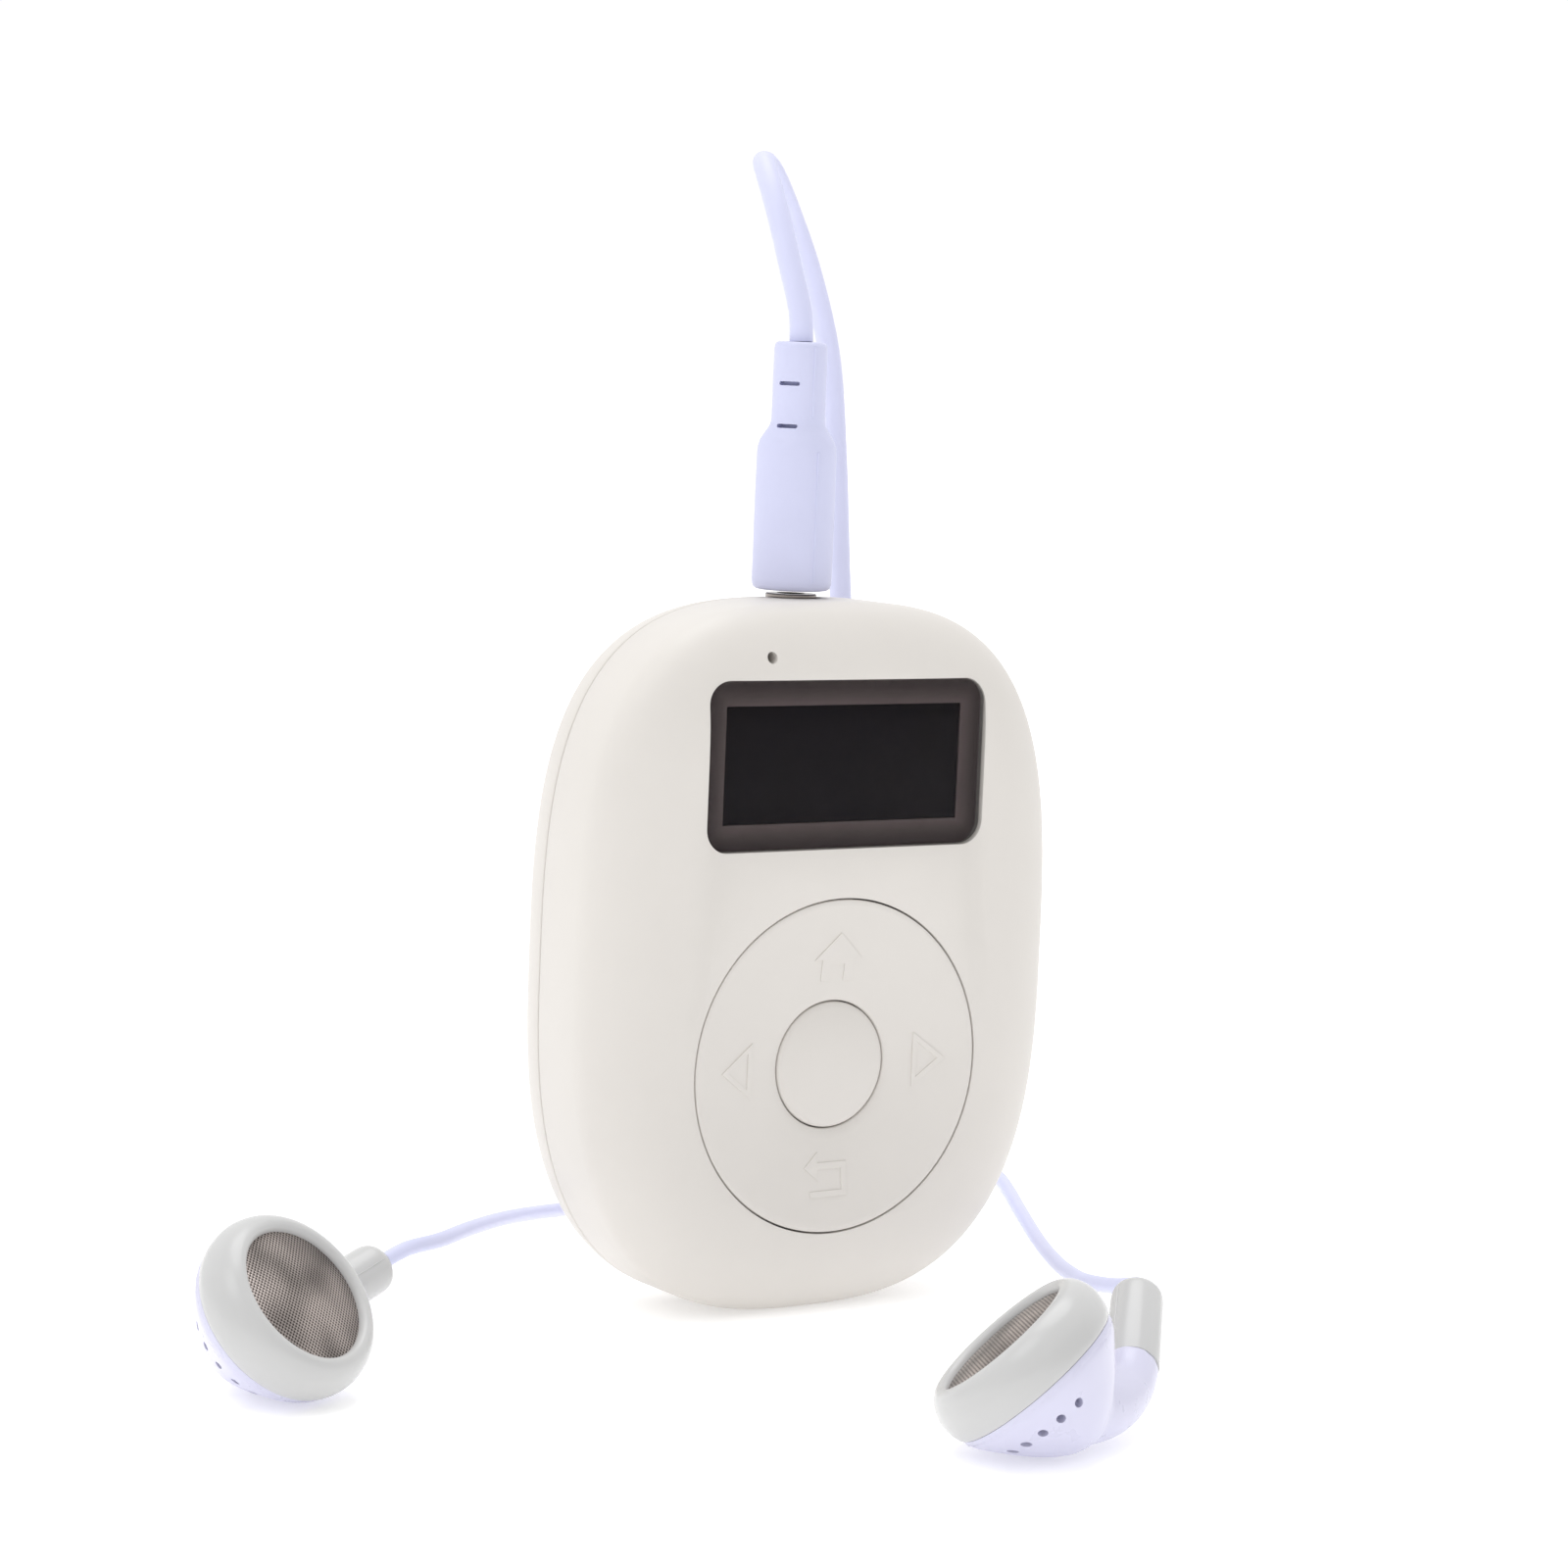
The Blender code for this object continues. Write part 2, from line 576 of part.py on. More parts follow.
def make_slider():
    """Power slide switch on the right flank: its knob runs along Z in a slot."""
    y, z = SLIDER_Y, SLIDER_Z
    box("power_switch_body", (17.4, y - 0.95, z - 3.3), (20.5, y + 1.1, z + 3.3), "bright_metal", 0.15)
    knob = box("power_switch_knob", (20.8, y - 1.15, z - 2.1), (21.5, y + 1.15, z + 2.1), "button_plastic")
    pad = box("power_switch_pad", (21.2, y - 0.65, z - 1.1), (23.25, y + 0.65, z + 1.1))
    join(knob, pad)
    for i in (-1, 0, 1):
        cut(knob, box("knob_groove_%d" % (i + 2), (23.0, y - 1.0, z + i * 0.6 - 0.12),
                      (24.0, y + 1.0, z + i * 0.6 + 0.12)))


# ------------------------------------------------------------- electronics
def make_board():
    outline = [(point.x, point.y) for point in body_outline(BOARD_IN, BOARD_POINTS)]
    board = plate("main_board", outline, -BOARD_BACK_Y, -BOARD_FRONT_Y, "circuit_green", facing_front(0.0, 0.0))
    for side, x in (("left", -1), ("right", 1)):
        cut(board, boss(side + "_board_notch", x * CASE_SCREW_X, CASE_SCREW_Z, 2.4, -5.0, 0.0),
            boss(side + "_board_hole", x * BOARD_SCREW_X, BOARD_SCREW_Z, 0.95, -5.0, 0.0))
    back = BOARD_BACK_Y + 0.15
    box("processor_chip", (-13.0, back, 45.5), (-5.0, back + 1.0, 53.5), "black_resin", 0.1)
    box("memory_chip", (5.6, back, 44.0), (14.6, back + 1.1, 52.5), "black_resin", 0.1)
    box("radio_chip", (-13.2, back, 37.4), (-8.2, back + 0.9, 42.4), "black_resin", 0.1)
    box("crystal_can", (6.0, back, 38.6), (12.0, back + 1.6, 41.6), "bright_metal", 0.6)


def make_power():
    battery = box("battery_cell", (-14.0, 1.9, 12.0), (14.0, 6.1, 41.0), "battery_foil")
    add_bevel(battery, 1.2)
    box("battery_pad", (-11.0, 6.35, 14.0), (11.0, 6.6, 37.0), "black_foam")
    for name, x, slot in (("battery_wire_red", -3.4, "red_wire"), ("battery_wire_black", 3.4, "black_wire")):
        route = [(x, 3.6, 41.25), (x, 3.2, 42.6), (x * 1.25, 1.4, 43.4), (x * 1.35, -0.6, 43.0), (x * 1.35, -1.9, 42.6)]
        tube(name, smooth_path(route, 1.6), 0.9, slot)


def make_sockets():
    jack = box("headphone_jack", (-3.3, -1.9, 44.6), (3.3, 5.3, 57.7), "black_resin", 0.2)
    cut(jack, cylinder("jack_bore_cutter", JACK_BORE_R, 45.6, 60.0, None, at(0.0, JACK_Y, 0.0)))
    for side, sign in (("left", -1), ("right", 1)):
        near, far = sorted((sign * 1.5, sign * 4.0))
        cut(jack, box(side + "_contact_slot", (near, JACK_Y - 0.8, 49.0), (far, JACK_Y + 0.8, 54.0)))
        near, far = sorted((sign * 2.3, sign * 2.6))
        box("jack_contact_" + side, (near, JACK_Y - 0.5, 49.4), (far, JACK_Y + 0.5, 53.6), "gold_plate")
    socket = box("usb_socket", (-3.75, -2.05, 1.7), (3.75, 0.6, 7.3), "bright_metal", 0.3)
    cut(socket, box("usb_mouth_cutter", (-3.3, -1.65, 0.0), (3.3, 0.2, 6.6)))
    tongue = box("usb_tongue", (-2.4, -1.0, 2.6), (2.4, -0.4, 6.9))
    join(socket, tongue)
    box("microphone", (MIC_X - 1.5, -4.35, MIC_Z - 1.7), (MIC_X + 1.5, BOARD_FRONT_Y - 0.1, MIC_Z + 0.9),
        "bright_metal", 0.15)
    turned("microphone_gasket", [(0.55, 5.1), (0.95, 5.1), (0.95, 4.5), (0.55, 4.5)], "black_foam",
           facing_front(MIC_X, MIC_Z), 20, closed=True)


# -------------------------------------------------------------------- plug
def make_plug():
    axis = at(0.0, JACK_Y, 0.0)
    turned("plug_sleeve", [(1.2, 60.9), (2.2, 60.9), (2.2, 60.25), (PLUG_R, 60.2), (PLUG_R, 51.6), (1.2, 51.6)],
           "dark_chrome", axis, 20, closed=True)
    turned("plug_insulator", [(0.55, 60.4), (1.1, 60.4), (1.1, 51.5), (PLUG_R, 51.5), (PLUG_R, 51.1), (1.1, 51.1),
                              (1.1, 49.5), (PLUG_R, 49.5), (PLUG_R, 49.1), (0.55, 49.1)],
           "black_resin", axis, 20, closed=True)
    turned("plug_ring", [(1.2, 51.0), (PLUG_R, 51.0), (PLUG_R, 49.6), (1.2, 49.6)], "dark_chrome", axis, 20,
           closed=True)
    turned("plug_tip", [(0.0, 60.0), (0.45, 60.0), (0.45, 49.0), (1.35, 49.0), (1.15, 48.4), (PLUG_R, 47.5),
                        (1.5, 46.9), (0.7, 46.4), (0.0, 46.3)], "dark_chrome", axis, 20)
    shoulder = 73.6
    turned("plug_boot", [(0.0, RELIEF_TOP_Z), (RELIEF_R - 0.35, RELIEF_TOP_Z), (RELIEF_R - 0.05, RELIEF_TOP_Z - 0.3),
                         (RELIEF_R + 0.05, shoulder + 2.2), (RELIEF_R + 0.45, shoulder + 1.4),
                         (BOOT_R - 0.35, shoulder + 0.8), (BOOT_R, shoulder - 0.4), (BOOT_R, BOOT_BOTTOM_Z + 0.7),
                         (BOOT_R - 0.25, BOOT_BOTTOM_Z + 0.15), (BOOT_R - 0.7, BOOT_BOTTOM_Z),
                         (0.0, BOOT_BOTTOM_Z)], "cord_plastic", axis, 20)


# -------------------------------------------------------------------- cord
def coil_solid(name, centre, radii, heights):
    """The outer shape of a neat round coil lying flat."""
    inner, outer = radii
    low, high = heights
    soft = 0.8
    profile = [(inner + soft, high), (outer - soft, high), (outer, high - soft), (outer, low + soft),
               (outer - soft, low), (inner + soft, low), (inner, low + soft), (inner, high - soft)]
    return turned(name, profile, "cord_plastic", at(*centre, 0.0), 32, closed=True)


def make_cords():
    tube("main_cord", smooth_path(MAIN_CORD_ROUTE, CORD_D * 2.4), CORD_D, "cord_plastic")
    coil_solid("main_cord_coil", MAIN_COIL_CENTRE, MAIN_COIL_R, MAIN_COIL_Z)
    coil_solid("leads_coil", LEADS_COIL_CENTRE, LEADS_COIL_R, LEADS_COIL_Z)
    tube("left_lead", smooth_path(LEFT_LEAD_ROUTE, LEAD_D * 2.6), LEAD_D, "cord_plastic")
    tube("right_lead", smooth_path(RIGHT_LEAD_ROUTE, LEAD_D * 2.6), LEAD_D, "cord_plastic")
    make_cord_tie()
    make_y_split()


def make_cord_tie():
    """A strap closed around the turns of the main coil, at its far left."""
    inner, outer = MAIN_COIL_R
    low, high = 0.02, MAIN_COIL_Z[1]
    half, thick, bow = 2.0, 0.4, 0.3
    frame = at(*MAIN_COIL_CENTRE, 0.0) @ Matrix.Rotation(math.radians(TIE_ANGLE), 4, "Z")
    near, far = inner - bow - GAP, outer + GAP
    tie = box("cord_tie", (near - thick, -half, low), (far + thick, half, high + GAP + thick), "tie_black", 0.0, frame)
    cut(tie, box("tie_hollow", (near, -half - 1.0, low + thick), (far, half + 1.0, high + GAP), None, 0.0, frame))


def make_y_split():
    """The moulded piece where the main cord becomes two leads."""
    frame = at(*SPLIT_START, 2.0) @ Matrix.Rotation(math.radians(SPLIT_HEADING), 4, "Z")
    sections = []
    for along, half_width, half_height in ((0.0, 1.4, 1.4), (1.2, 1.9, 1.6), (6.2, 2.4, 1.7), (8.4, 2.3, 1.4),
                                           (9.0, 1.9, 1.1)):
        outline = rounded_rectangle(half_width, half_height, min(half_width, half_height) * 0.8)
        sections.append([(along, across, up) for across, up in outline])
    loft("y_split", sections, "cord_plastic", frame)


# ---------------------------------------------------------------- earbuds
def earbud_frame(place):
    """Origin in the middle of the grille, +Z out of it, +X towards the stem."""
    azimuth, elevation, turn = (math.radians(place[key]) for key in ("azimuth", "elevation", "turn"))
    out = Vector((math.cos(elevation) * math.cos(azimuth), math.cos(elevation) * math.sin(azimuth),
                  math.sin(elevation)))
    level = out.cross(Vector((0.0, 0.0, 1.0))).normalized()
    steep = out.cross(level)
    stem = level * math.cos(turn) + steep * math.sin(turn)
    side = out.cross(stem)
    frame = Matrix((stem, side, out)).transposed().to_4x4()
    return at(*place["centre"]) @ frame


def make_earbud(side, place):
    frame = earbud_frame(place)
    turned(side + "_bud_ring", [(5.6, 0.1), (6.0, 0.4), (6.5, 0.3), (7.2, -0.6), (7.65, -2.1), (7.5, -3.2),
                                (7.15, -3.7), (6.4, -3.7), (6.4, -0.9), (5.6, -0.5)],
           "earbud_grey", frame, 28, closed=True)
    turned(side + "_bud_grille", [(0.0, 0.15), (3.0, 0.02), (5.3, -0.2), (5.3, -0.45), (3.0, -0.25), (0.0, -0.12)],
           "grille_metal", frame, 20)
    turned(side + "_bud_diaphragm", [(0.0, -0.9), (2.6, -1.3), (3.0, -1.5), (5.9, -1.2), (5.9, -1.45), (3.0, -1.75),
                                     (2.6, -1.55), (0.0, -1.15)], "diaphragm_film", frame, 20)
    turned(side + "_bud_driver", [(0.0, -2.1), (5.7, -2.0), (5.7, -3.9), (4.0, -4.7), (4.0, -5.6), (0.0, -5.6)],
           "steel", frame, 24)
    make_bud_shell(side, frame)
    make_bud_stem(side, frame)


def make_bud_shell(side, frame):
    """The rear shell is a dome with a neck that bends out towards the stem."""
    name = side + "_bud_shell"
    dome = [(0.0, -3.95), (7.2, -3.95), (7.15, -4.25), (6.7, -4.85), (5.6, -6.2), (4.4, -7.6), (3.1, -8.9),
            (1.6, -9.9), (0.0, -10.4)]
    shell = turned(name, dome, "earbud_shell", frame, 28)
    route = [(1.0, 0.0, -8.0), (3.2, 0.0, -9.3), (5.8, 0.0, -10.15), (8.6, 0.0, -10.45), (11.4, 0.0, -10.0)]
    neck = tube(name + "_neck", smooth_path(route, 2.2), 4.4, None)
    neck.matrix_world = frame
    hollow = turned(name + "_hollow", [(0.0, -3.0), (6.25, -3.0), (6.25, -4.1), (5.6, -5.0), (4.5, -6.4), (3.3, -7.6),
                                      (2.0, -8.4), (0.0, -8.7)],
                    None, frame, 24)
    join(shell, neck)
    cut(shell, hollow)
    for i in range(VENTS):
        angle = math.radians(VENT_MIDDLE + VENT_SPACING * (i - (VENTS - 1) / 2))
        out = Matrix.Rotation(angle, 4, "Z") @ Matrix.Rotation(math.radians(127.0), 4, "Y")
        place = frame @ at(0.0, 0.0, -2.0) @ out
        cut(shell, cylinder("%s_vent_%d" % (name, i + 1), 0.42, 4.0, 10.0, None, place, 10))


def make_bud_stem(side, frame):
    (start_x, start_z), (end_x, end_z) = STEM_START, STEM_END
    lean = math.atan2(end_x - start_x, end_z - start_z)
    length = math.hypot(end_x - start_x, end_z - start_z)
    place = frame @ at(start_x, 0.0, start_z) @ Matrix.Rotation(lean, 4, "Y")
    profile = [(0.0, length), (0.9, length - 0.05), (1.6, length - 0.35), (2.0, length - 0.9), (STEM_R, length - 1.6),
               (STEM_R + 0.05, 0.45), (0.0, 0.45)]
    turned(side + "_bud_stem", profile, "earbud_grey", place, 20)


def main():
    global PARTS, CUTTERS
    clear_scene()
    PARTS = new_collection("digital_audio_player")
    CUTTERS = new_collection("cutters")
    make_front_shell()
    make_rear_cover()
    make_fasteners()
    make_screen()
    make_controls()
    make_slider()
    make_board()
    make_power()
    make_sockets()
    make_plug()
    make_cords()
    for side, place in EARBUDS.items():
        make_earbud(side, place)
    bpy.context.view_layer.update()


main()
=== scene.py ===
"""Pocket digital audio player with its earphones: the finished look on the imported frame.

Metres, +Z up, in the CAD's own frame: the player's face looks towards -Y.
Sizes below are millimetres unless a comment says otherwise.
"""
import json
import math

import bmesh
import bpy
from mathutils import Matrix, Vector


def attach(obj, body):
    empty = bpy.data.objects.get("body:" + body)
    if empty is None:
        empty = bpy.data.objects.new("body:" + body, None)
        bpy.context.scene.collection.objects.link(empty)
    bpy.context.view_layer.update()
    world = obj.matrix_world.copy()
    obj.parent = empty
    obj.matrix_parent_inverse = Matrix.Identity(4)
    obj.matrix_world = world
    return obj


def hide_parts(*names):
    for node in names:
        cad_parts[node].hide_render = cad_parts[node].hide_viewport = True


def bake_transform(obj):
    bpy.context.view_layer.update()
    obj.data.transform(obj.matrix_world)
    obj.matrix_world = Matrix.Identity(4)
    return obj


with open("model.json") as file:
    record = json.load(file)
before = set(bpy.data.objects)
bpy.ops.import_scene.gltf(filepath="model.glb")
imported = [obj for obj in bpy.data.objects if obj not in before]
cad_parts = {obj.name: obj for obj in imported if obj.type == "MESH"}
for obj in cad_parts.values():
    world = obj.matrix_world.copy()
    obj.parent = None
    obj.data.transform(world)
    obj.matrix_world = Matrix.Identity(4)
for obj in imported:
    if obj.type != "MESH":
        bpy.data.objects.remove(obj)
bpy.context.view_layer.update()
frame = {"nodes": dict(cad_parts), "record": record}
NODES = frame["nodes"]
MM = 0.001

# Player body
HALF_WIDTH = 23.7
WIDEST_Z = 29.5
TOP_RISE = 31.1
BOTTOM_DROP = 29.5
TOP_SQUARENESS = 3.1
BOTTOM_SQUARENESS = 2.75
OUTLINE_POINTS = 192
FACE_Y = -7.8
BACK_Y = 8.2
PARTING_Y = 2.1
SEAM = 0.09
WALL = 1.4
FACE_ROUND_IN = 7.6
FACE_ROUND_DEEP = 4.4
BACK_ROUND_IN = 5.6

# Screen and controls
SCREEN_Z = 47.2
LENS_HALF = (13.98, 7.06)
LENS_CORNER = 2.0
LENS_GAP = 0.09
LENS_RIM = 1.9
DISPLAY_HALF = (11.95, 4.95)
RING_Z = 21.5
RING_OUTER_R = 14.24
RING_INNER_R = 5.5
RING_OPENING_R = 14.38
BUTTON_R = 5.39
MIC_X = -7.9
MIC_Z = 56.2
JACK_Y = 2.1
JACK_OPENING_R = 2.6
CASE_SCREW_X = 13.4
CASE_SCREW_Z = 9.0
SLIDER_Y = -1.2

# Plug
BOOT_R = 3.4
RELIEF_R = 2.25
BOOT_BOTTOM_Z = 61.2
RELIEF_TOP_Z = 82.3
PLUG_TURN = -34.184  # degrees about its own axis

# Cords: lengths are the real ones, in metres
CORD_D = 2.0
LEAD_D = 1.3
MAIN_COIL_CENTRE = (22.0, 32.0)
MAIN_COIL_R = (8.0, 14.2)
MAIN_COIL_Z = (0.45, 8.8)
COIL_LAYER_Z = (7.7, 5.62, 3.54, 1.46)
COIL_TURN_R = (9.05, 11.1, 13.15)
LEADS_COIL_CENTRE = (50.0, 57.0)
LEADS_TURN_R = (9.15, 7.75, 6.4)
SPLIT_START = (31.8, 45.2)
SPLIT_HEADING = 11.3
SPLIT_Z = 2.0
TIE_ANGLE = 150.0
MAIN_CORD_ROUTE = [
    (0.0, 2.1, 82.3), (0.0, 2.4, 84.8), (-0.1, 4.0, 88.5), (0.0, 6.2, 92.7), (0.7, 9.2, 96.2),
    (2.2, 12.2, 97.7), (4.9, 14.6, 96.8), (8.5, 17.0, 93.4), (12.4, 19.0, 88.0), (15.5, 20.2, 80.8),
    (17.1, 20.8, 71.6), (18.2, 20.9, 60.0), (19.6, 20.8, 48.0), (21.8, 20.6, 36.0), (24.2, 20.4, 25.5),
    (24.8, 20.4, 18.0), (23.4, 20.6, 12.8), (20.4, 21.0, 10.4),
]
LEFT_LEAD_ROUTE = [
    (-38.2, 0.7, 6.5), (-35.6, 1.6, 7.1), (-31.3, 4.0, 6.9), (-25.0, 9.8, 6.2), (-17.3, 17.3, 4.9),
    (-9.6, 24.2, 3.4), (-3.4, 29.4, 2.2), (1.6, 35.2, 1.2), (5.4, 42.0, 0.7),
    (10.4, 48.8, 0.7), (18.0, 56.2, 0.7), (28.0, 62.4, 0.9), (36.4, 65.6, 1.6), (43.7, 66.1, 2.2),
]
RIGHT_LEAD_ROUTE = [
    (6.3, -41.5, 9.15), (6.95, -40.5, 9.05), (7.5, -38.6, 8.5), (8.2, -35.6, 7.8), (9.7, -31.4, 7.0),
    (12.5, -26.1, 6.0), (18.9, -15.3, 4.3), (28.5, -0.1, 2.4), (39.3, 16.9, 1.0), (44.6, 25.6, 0.7),
    (47.8, 31.6, 0.7), (49.0, 36.4, 0.8), (48.2, 41.0, 1.9), (46.6, 44.6, 3.9), (45.0, 47.4, 4.8),
]

# Earbuds
EARBUDS = {
    "left": {"centre": (-53.4, -14.4, 8.5), "azimuth": -65.7, "elevation": 39.3, "turn": 189.0},
    "right": {"centre": (-13.5, -50.0, 8.85), "azimuth": 142.9, "elevation": 46.6, "turn": 337.0},
}
SHELL_RIM_R = 7.2
SHELL_RIM_Z = -3.7
STEM_START = (11.45, -10.0)
STEM_END = (20.0, -7.2)
STEM_R = 2.1
VENTS = 5
VENT_SPACING = 18.0
VENT_MIDDLE = 188.0
VENT_TILT = 127.0
VENT_R = 0.36
VENT_STRETCH = 1.35
VENT_ORIGIN_Z = -2.0

# Camera: place in millimetres, angles in degrees, lens in millimetres on a 36 mm sensor
CAMERA_PLACE = (-197.664, -289.077, 81.739)
CAMERA_AZIMUTH = -34.184
CAMERA_ELEVATION = 6.046
CAMERA_ROLL = 2.365
CAMERA_LENS = 94.5


# ------------------------------------------------------------------ camera
def make_camera():
    azimuth, elevation, roll = (math.radians(a) for a in (CAMERA_AZIMUTH, CAMERA_ELEVATION, CAMERA_ROLL))
    back = Vector((math.sin(azimuth) * math.cos(elevation), -math.cos(azimuth) * math.cos(elevation),
                   math.sin(elevation)))
    right = Vector((math.cos(azimuth), math.sin(azimuth), 0.0))
    up = back.cross(right)
    across = right * math.cos(roll) + up * math.sin(roll)
    upright = up * math.cos(roll) - right * math.sin(roll)
    data = bpy.data.cameras.new("camera")
    data.lens = CAMERA_LENS
    data.sensor_width = 36.0
    data.clip_start = 0.01
    camera = bpy.data.objects.new("camera", data)
    bpy.context.scene.collection.objects.link(camera)
    turn = Matrix((across, upright, back)).transposed().to_4x4()
    camera.matrix_world = Matrix.Translation(Vector(CAMERA_PLACE) * MM) @ turn
    bpy.context.scene.camera = camera


# --------------------------------------------------------------- materials
def new_material(name):
    made = bpy.data.materials.new(name)
    made.use_nodes = True
    tree = made.node_tree
    return made, tree, tree.nodes["Principled BSDF"]


def put(node, **values):
    """Set a node's inputs by name, with underscores for spaces."""
    for key, value in values.items():
        node.inputs[key.replace("_", " ")].default_value = value


def add(tree, kind, **values):
    """Add a node; names with an underscore first are its sockets."""
    node = tree.nodes.new(kind)
    for key, value in values.items():
        if key.startswith("_"):
            put(node, **{key[1:]: value})
        else:
            setattr(node, key, value)
    return node


def maths(tree, operation, *sources):
    """A Math node; each source is a socket or a number."""
    node = add(tree, "ShaderNodeMath", operation=operation)
    for socket, source in zip(node.inputs, sources):
        if isinstance(source, float):
            socket.default_value = source
        else:
            tree.links.new(source, socket)
    return node.outputs[0]


def bumped(tree, shader, height, strength, depth):
    """Bump the surface by depth, in millimetres, where the height is 1."""
    bump = add(tree, "ShaderNodeBump", _Strength=strength, _Distance=depth * MM)
    tree.links.new(height, bump.inputs["Height"])
    tree.links.new(bump.outputs["Normal"], shader.inputs["Normal"])
    return bump


def noise(tree, scale, detail=3.0, rough=0.6):
    """Noise in the object's own space; scale is in features per metre."""
    place = add(tree, "ShaderNodeTexCoord")
    made = add(tree, "ShaderNodeTexNoise", _Scale=scale, _Detail=detail, _Roughness=rough)
    tree.links.new(place.outputs["Object"], made.inputs["Vector"])
    return made


def ramp(tree, source, low, high, a, b):
    """Map a 0..1 value between low and high onto two colours."""
    made = add(tree, "ShaderNodeValToRGB")
    made.color_ramp.elements[0].position = low
    made.color_ramp.elements[1].position = high
    made.color_ramp.elements[0].color = (*a, 1.0)
    made.color_ramp.elements[1].color = (*b, 1.0)
    tree.links.new(source, made.inputs["Fac"])
    return made.outputs["Color"]


def shade(colour, factor):
    return tuple(min(1.0, channel * factor) for channel in colour)


def moulded(name, colour, roughness, grain=2600.0, depth=0.012, mottle=0.035, metallic=0.0, patch=90.0,
            spread=0.03, specular=0.5):
    """Moulded plastic or plain metal: soft mottling, uneven gloss, fine surface grain."""
    made, tree, shader = new_material(name)
    large = noise(tree, patch, 4.0)
    colours = ramp(tree, large.outputs["Fac"], 0.32, 0.68, shade(colour, 1 - mottle),
                   shade(colour, 1 + mottle))
    tree.links.new(colours, shader.inputs["Base Color"])
    gloss = noise(tree, patch * 5.0, 3.0)
    spots = add(tree, "ShaderNodeMapRange", _From_Min=0.25, _From_Max=0.75,
                _To_Min=max(0.02, roughness - spread), _To_Max=roughness + spread)
    tree.links.new(gloss.outputs["Fac"], spots.inputs["Value"])
    tree.links.new(spots.outputs["Result"], shader.inputs["Roughness"])
    fine = noise(tree, grain, 2.0)
    bumped(tree, shader, fine.outputs["Fac"], 0.35, depth)
    put(shader, Metallic=metallic, Specular_IOR_Level=specular)
    return made


def wave(tree, source, per_metre):
    """A sine of one coordinate, with that many waves in a metre."""
    return maths(tree, "SINE", maths(tree, "MULTIPLY", source, per_metre * 2 * math.pi))


def woven_metal():
    """The earbud grille: fine wire cloth, warm wires with painted light on their crowns, painted shade in the
    hollows between them and painted reflection patches.
    """
    made, tree, shader = new_material("grille_metal")
    place = add(tree, "ShaderNodeTexCoord")
    turn = add(tree, "ShaderNodeMapping")
    turn.inputs["Rotation"].default_value = (0.0, 0.0, math.radians(12.0))
    split = add(tree, "ShaderNodeSeparateXYZ")
    tree.links.new(place.outputs["Object"], turn.inputs["Vector"])
    tree.links.new(turn.outputs["Vector"], split.inputs["Vector"])
    one = wave(tree, split.outputs["X"], 2700.0)
    two = wave(tree, split.outputs["Y"], 2700.0)
    height = add(tree, "ShaderNodeMapRange", _From_Min=-1.0)
    tree.links.new(maths(tree, "MULTIPLY", one, two), height.inputs["Value"])
    # Painted light and shade: where the weave stands highest the wires are painted bright, and the hollows
    # between them are painted dark.
    colours = ramp(tree, height.outputs["Result"], 0.22, 0.62, (0.06, 0.046, 0.042),
                   (0.62, 0.55, 0.52))
    # Painted reflection: broad random patches darken the metal's colour, in place of the uneven reflections
    # across the domed grille.
    reflection_patches = noise(tree, 190.0, 1.0)
    painted_reflection = ramp(tree, reflection_patches.outputs["Fac"], 0.35, 0.65, (0.45, 0.45, 0.45), (1.0, 1.0, 1.0))
    mixed = add(tree, "ShaderNodeMix", data_type="RGBA", blend_type="MULTIPLY")
    mixed.inputs[0].default_value = 1.0
    tree.links.new(colours, mixed.inputs[6])
    tree.links.new(painted_reflection, mixed.inputs[7])
    tree.links.new(mixed.outputs[2], shader.inputs["Base Color"])
    bumped(tree, shader, height.outputs["Result"], 0.8, 0.06)
    put(shader, Metallic=0.85, Roughness=0.34)
    return made


def paint_rim_shade_and_reflection(tree, shader):
    """Painted shade and reflection: the lens is made less clear towards its pillowed rim than its flat
    middle, so the rim shows darker and reflects more.
    """
    place = add(tree, "ShaderNodeTexCoord")
    split = add(tree, "ShaderNodeSeparateXYZ")
    tree.links.new(place.outputs["Object"], split.inputs["Vector"])
    distances = []
    for axis, middle, half in (("X", 0.0, LENS_HALF[0]), ("Z", SCREEN_Z, LENS_HALF[1])):
        offset = maths(tree, "ABSOLUTE", maths(tree, "SUBTRACT", split.outputs[axis], middle * MM))
        distances.append(maths(tree, "SUBTRACT", offset, (half - LENS_RIM) * MM))
    painted_rim = add(tree, "ShaderNodeMapRange", _From_Max=1.5 * MM, _To_Min=0.28, _To_Max=0.44)
    tree.links.new(maths(tree, "MAXIMUM", *distances), painted_rim.inputs["Value"])
    tree.links.new(painted_rim.outputs["Result"], shader.inputs["Alpha"])


def smoked_lens():
    """Clear smoked plastic: seen through, with its own polish."""
    made, tree, shader = new_material("smoked_lens")
    large = noise(tree, 160.0, 3.0)
    colours = ramp(tree, large.outputs["Fac"], 0.3, 0.7, (0.012, 0.009, 0.010), (0.016, 0.012, 0.012))
    tree.links.new(colours, shader.inputs["Base Color"])
    fine = noise(tree, 700.0, 2.0)
    bumped(tree, shader, fine.outputs["Fac"], 0.12, 0.01)
    put(shader, Roughness=0.04, Specular_IOR_Level=0.11)
    # Painted shade and reflection on the lens rim.
    paint_rim_shade_and_reflection(tree, shader)
    return made


def strap_cloth():
    """Hook-and-loop strap: a coarse dark pile."""
    made, tree, shader = new_material("tie_black")
    pile = noise(tree, 3200.0, 4.0, 0.8)
    colours = ramp(tree, pile.outputs["Fac"], 0.3, 0.7, (0.015, 0.015, 0.017), (0.09, 0.09, 0.095))
    tree.links.new(colours, shader.inputs["Base Color"])
    bumped(tree, shader, pile.outputs["Fac"], 0.9, 0.12)
    put(shader, Roughness=0.9, Sheen_Weight=0.4)
    return made


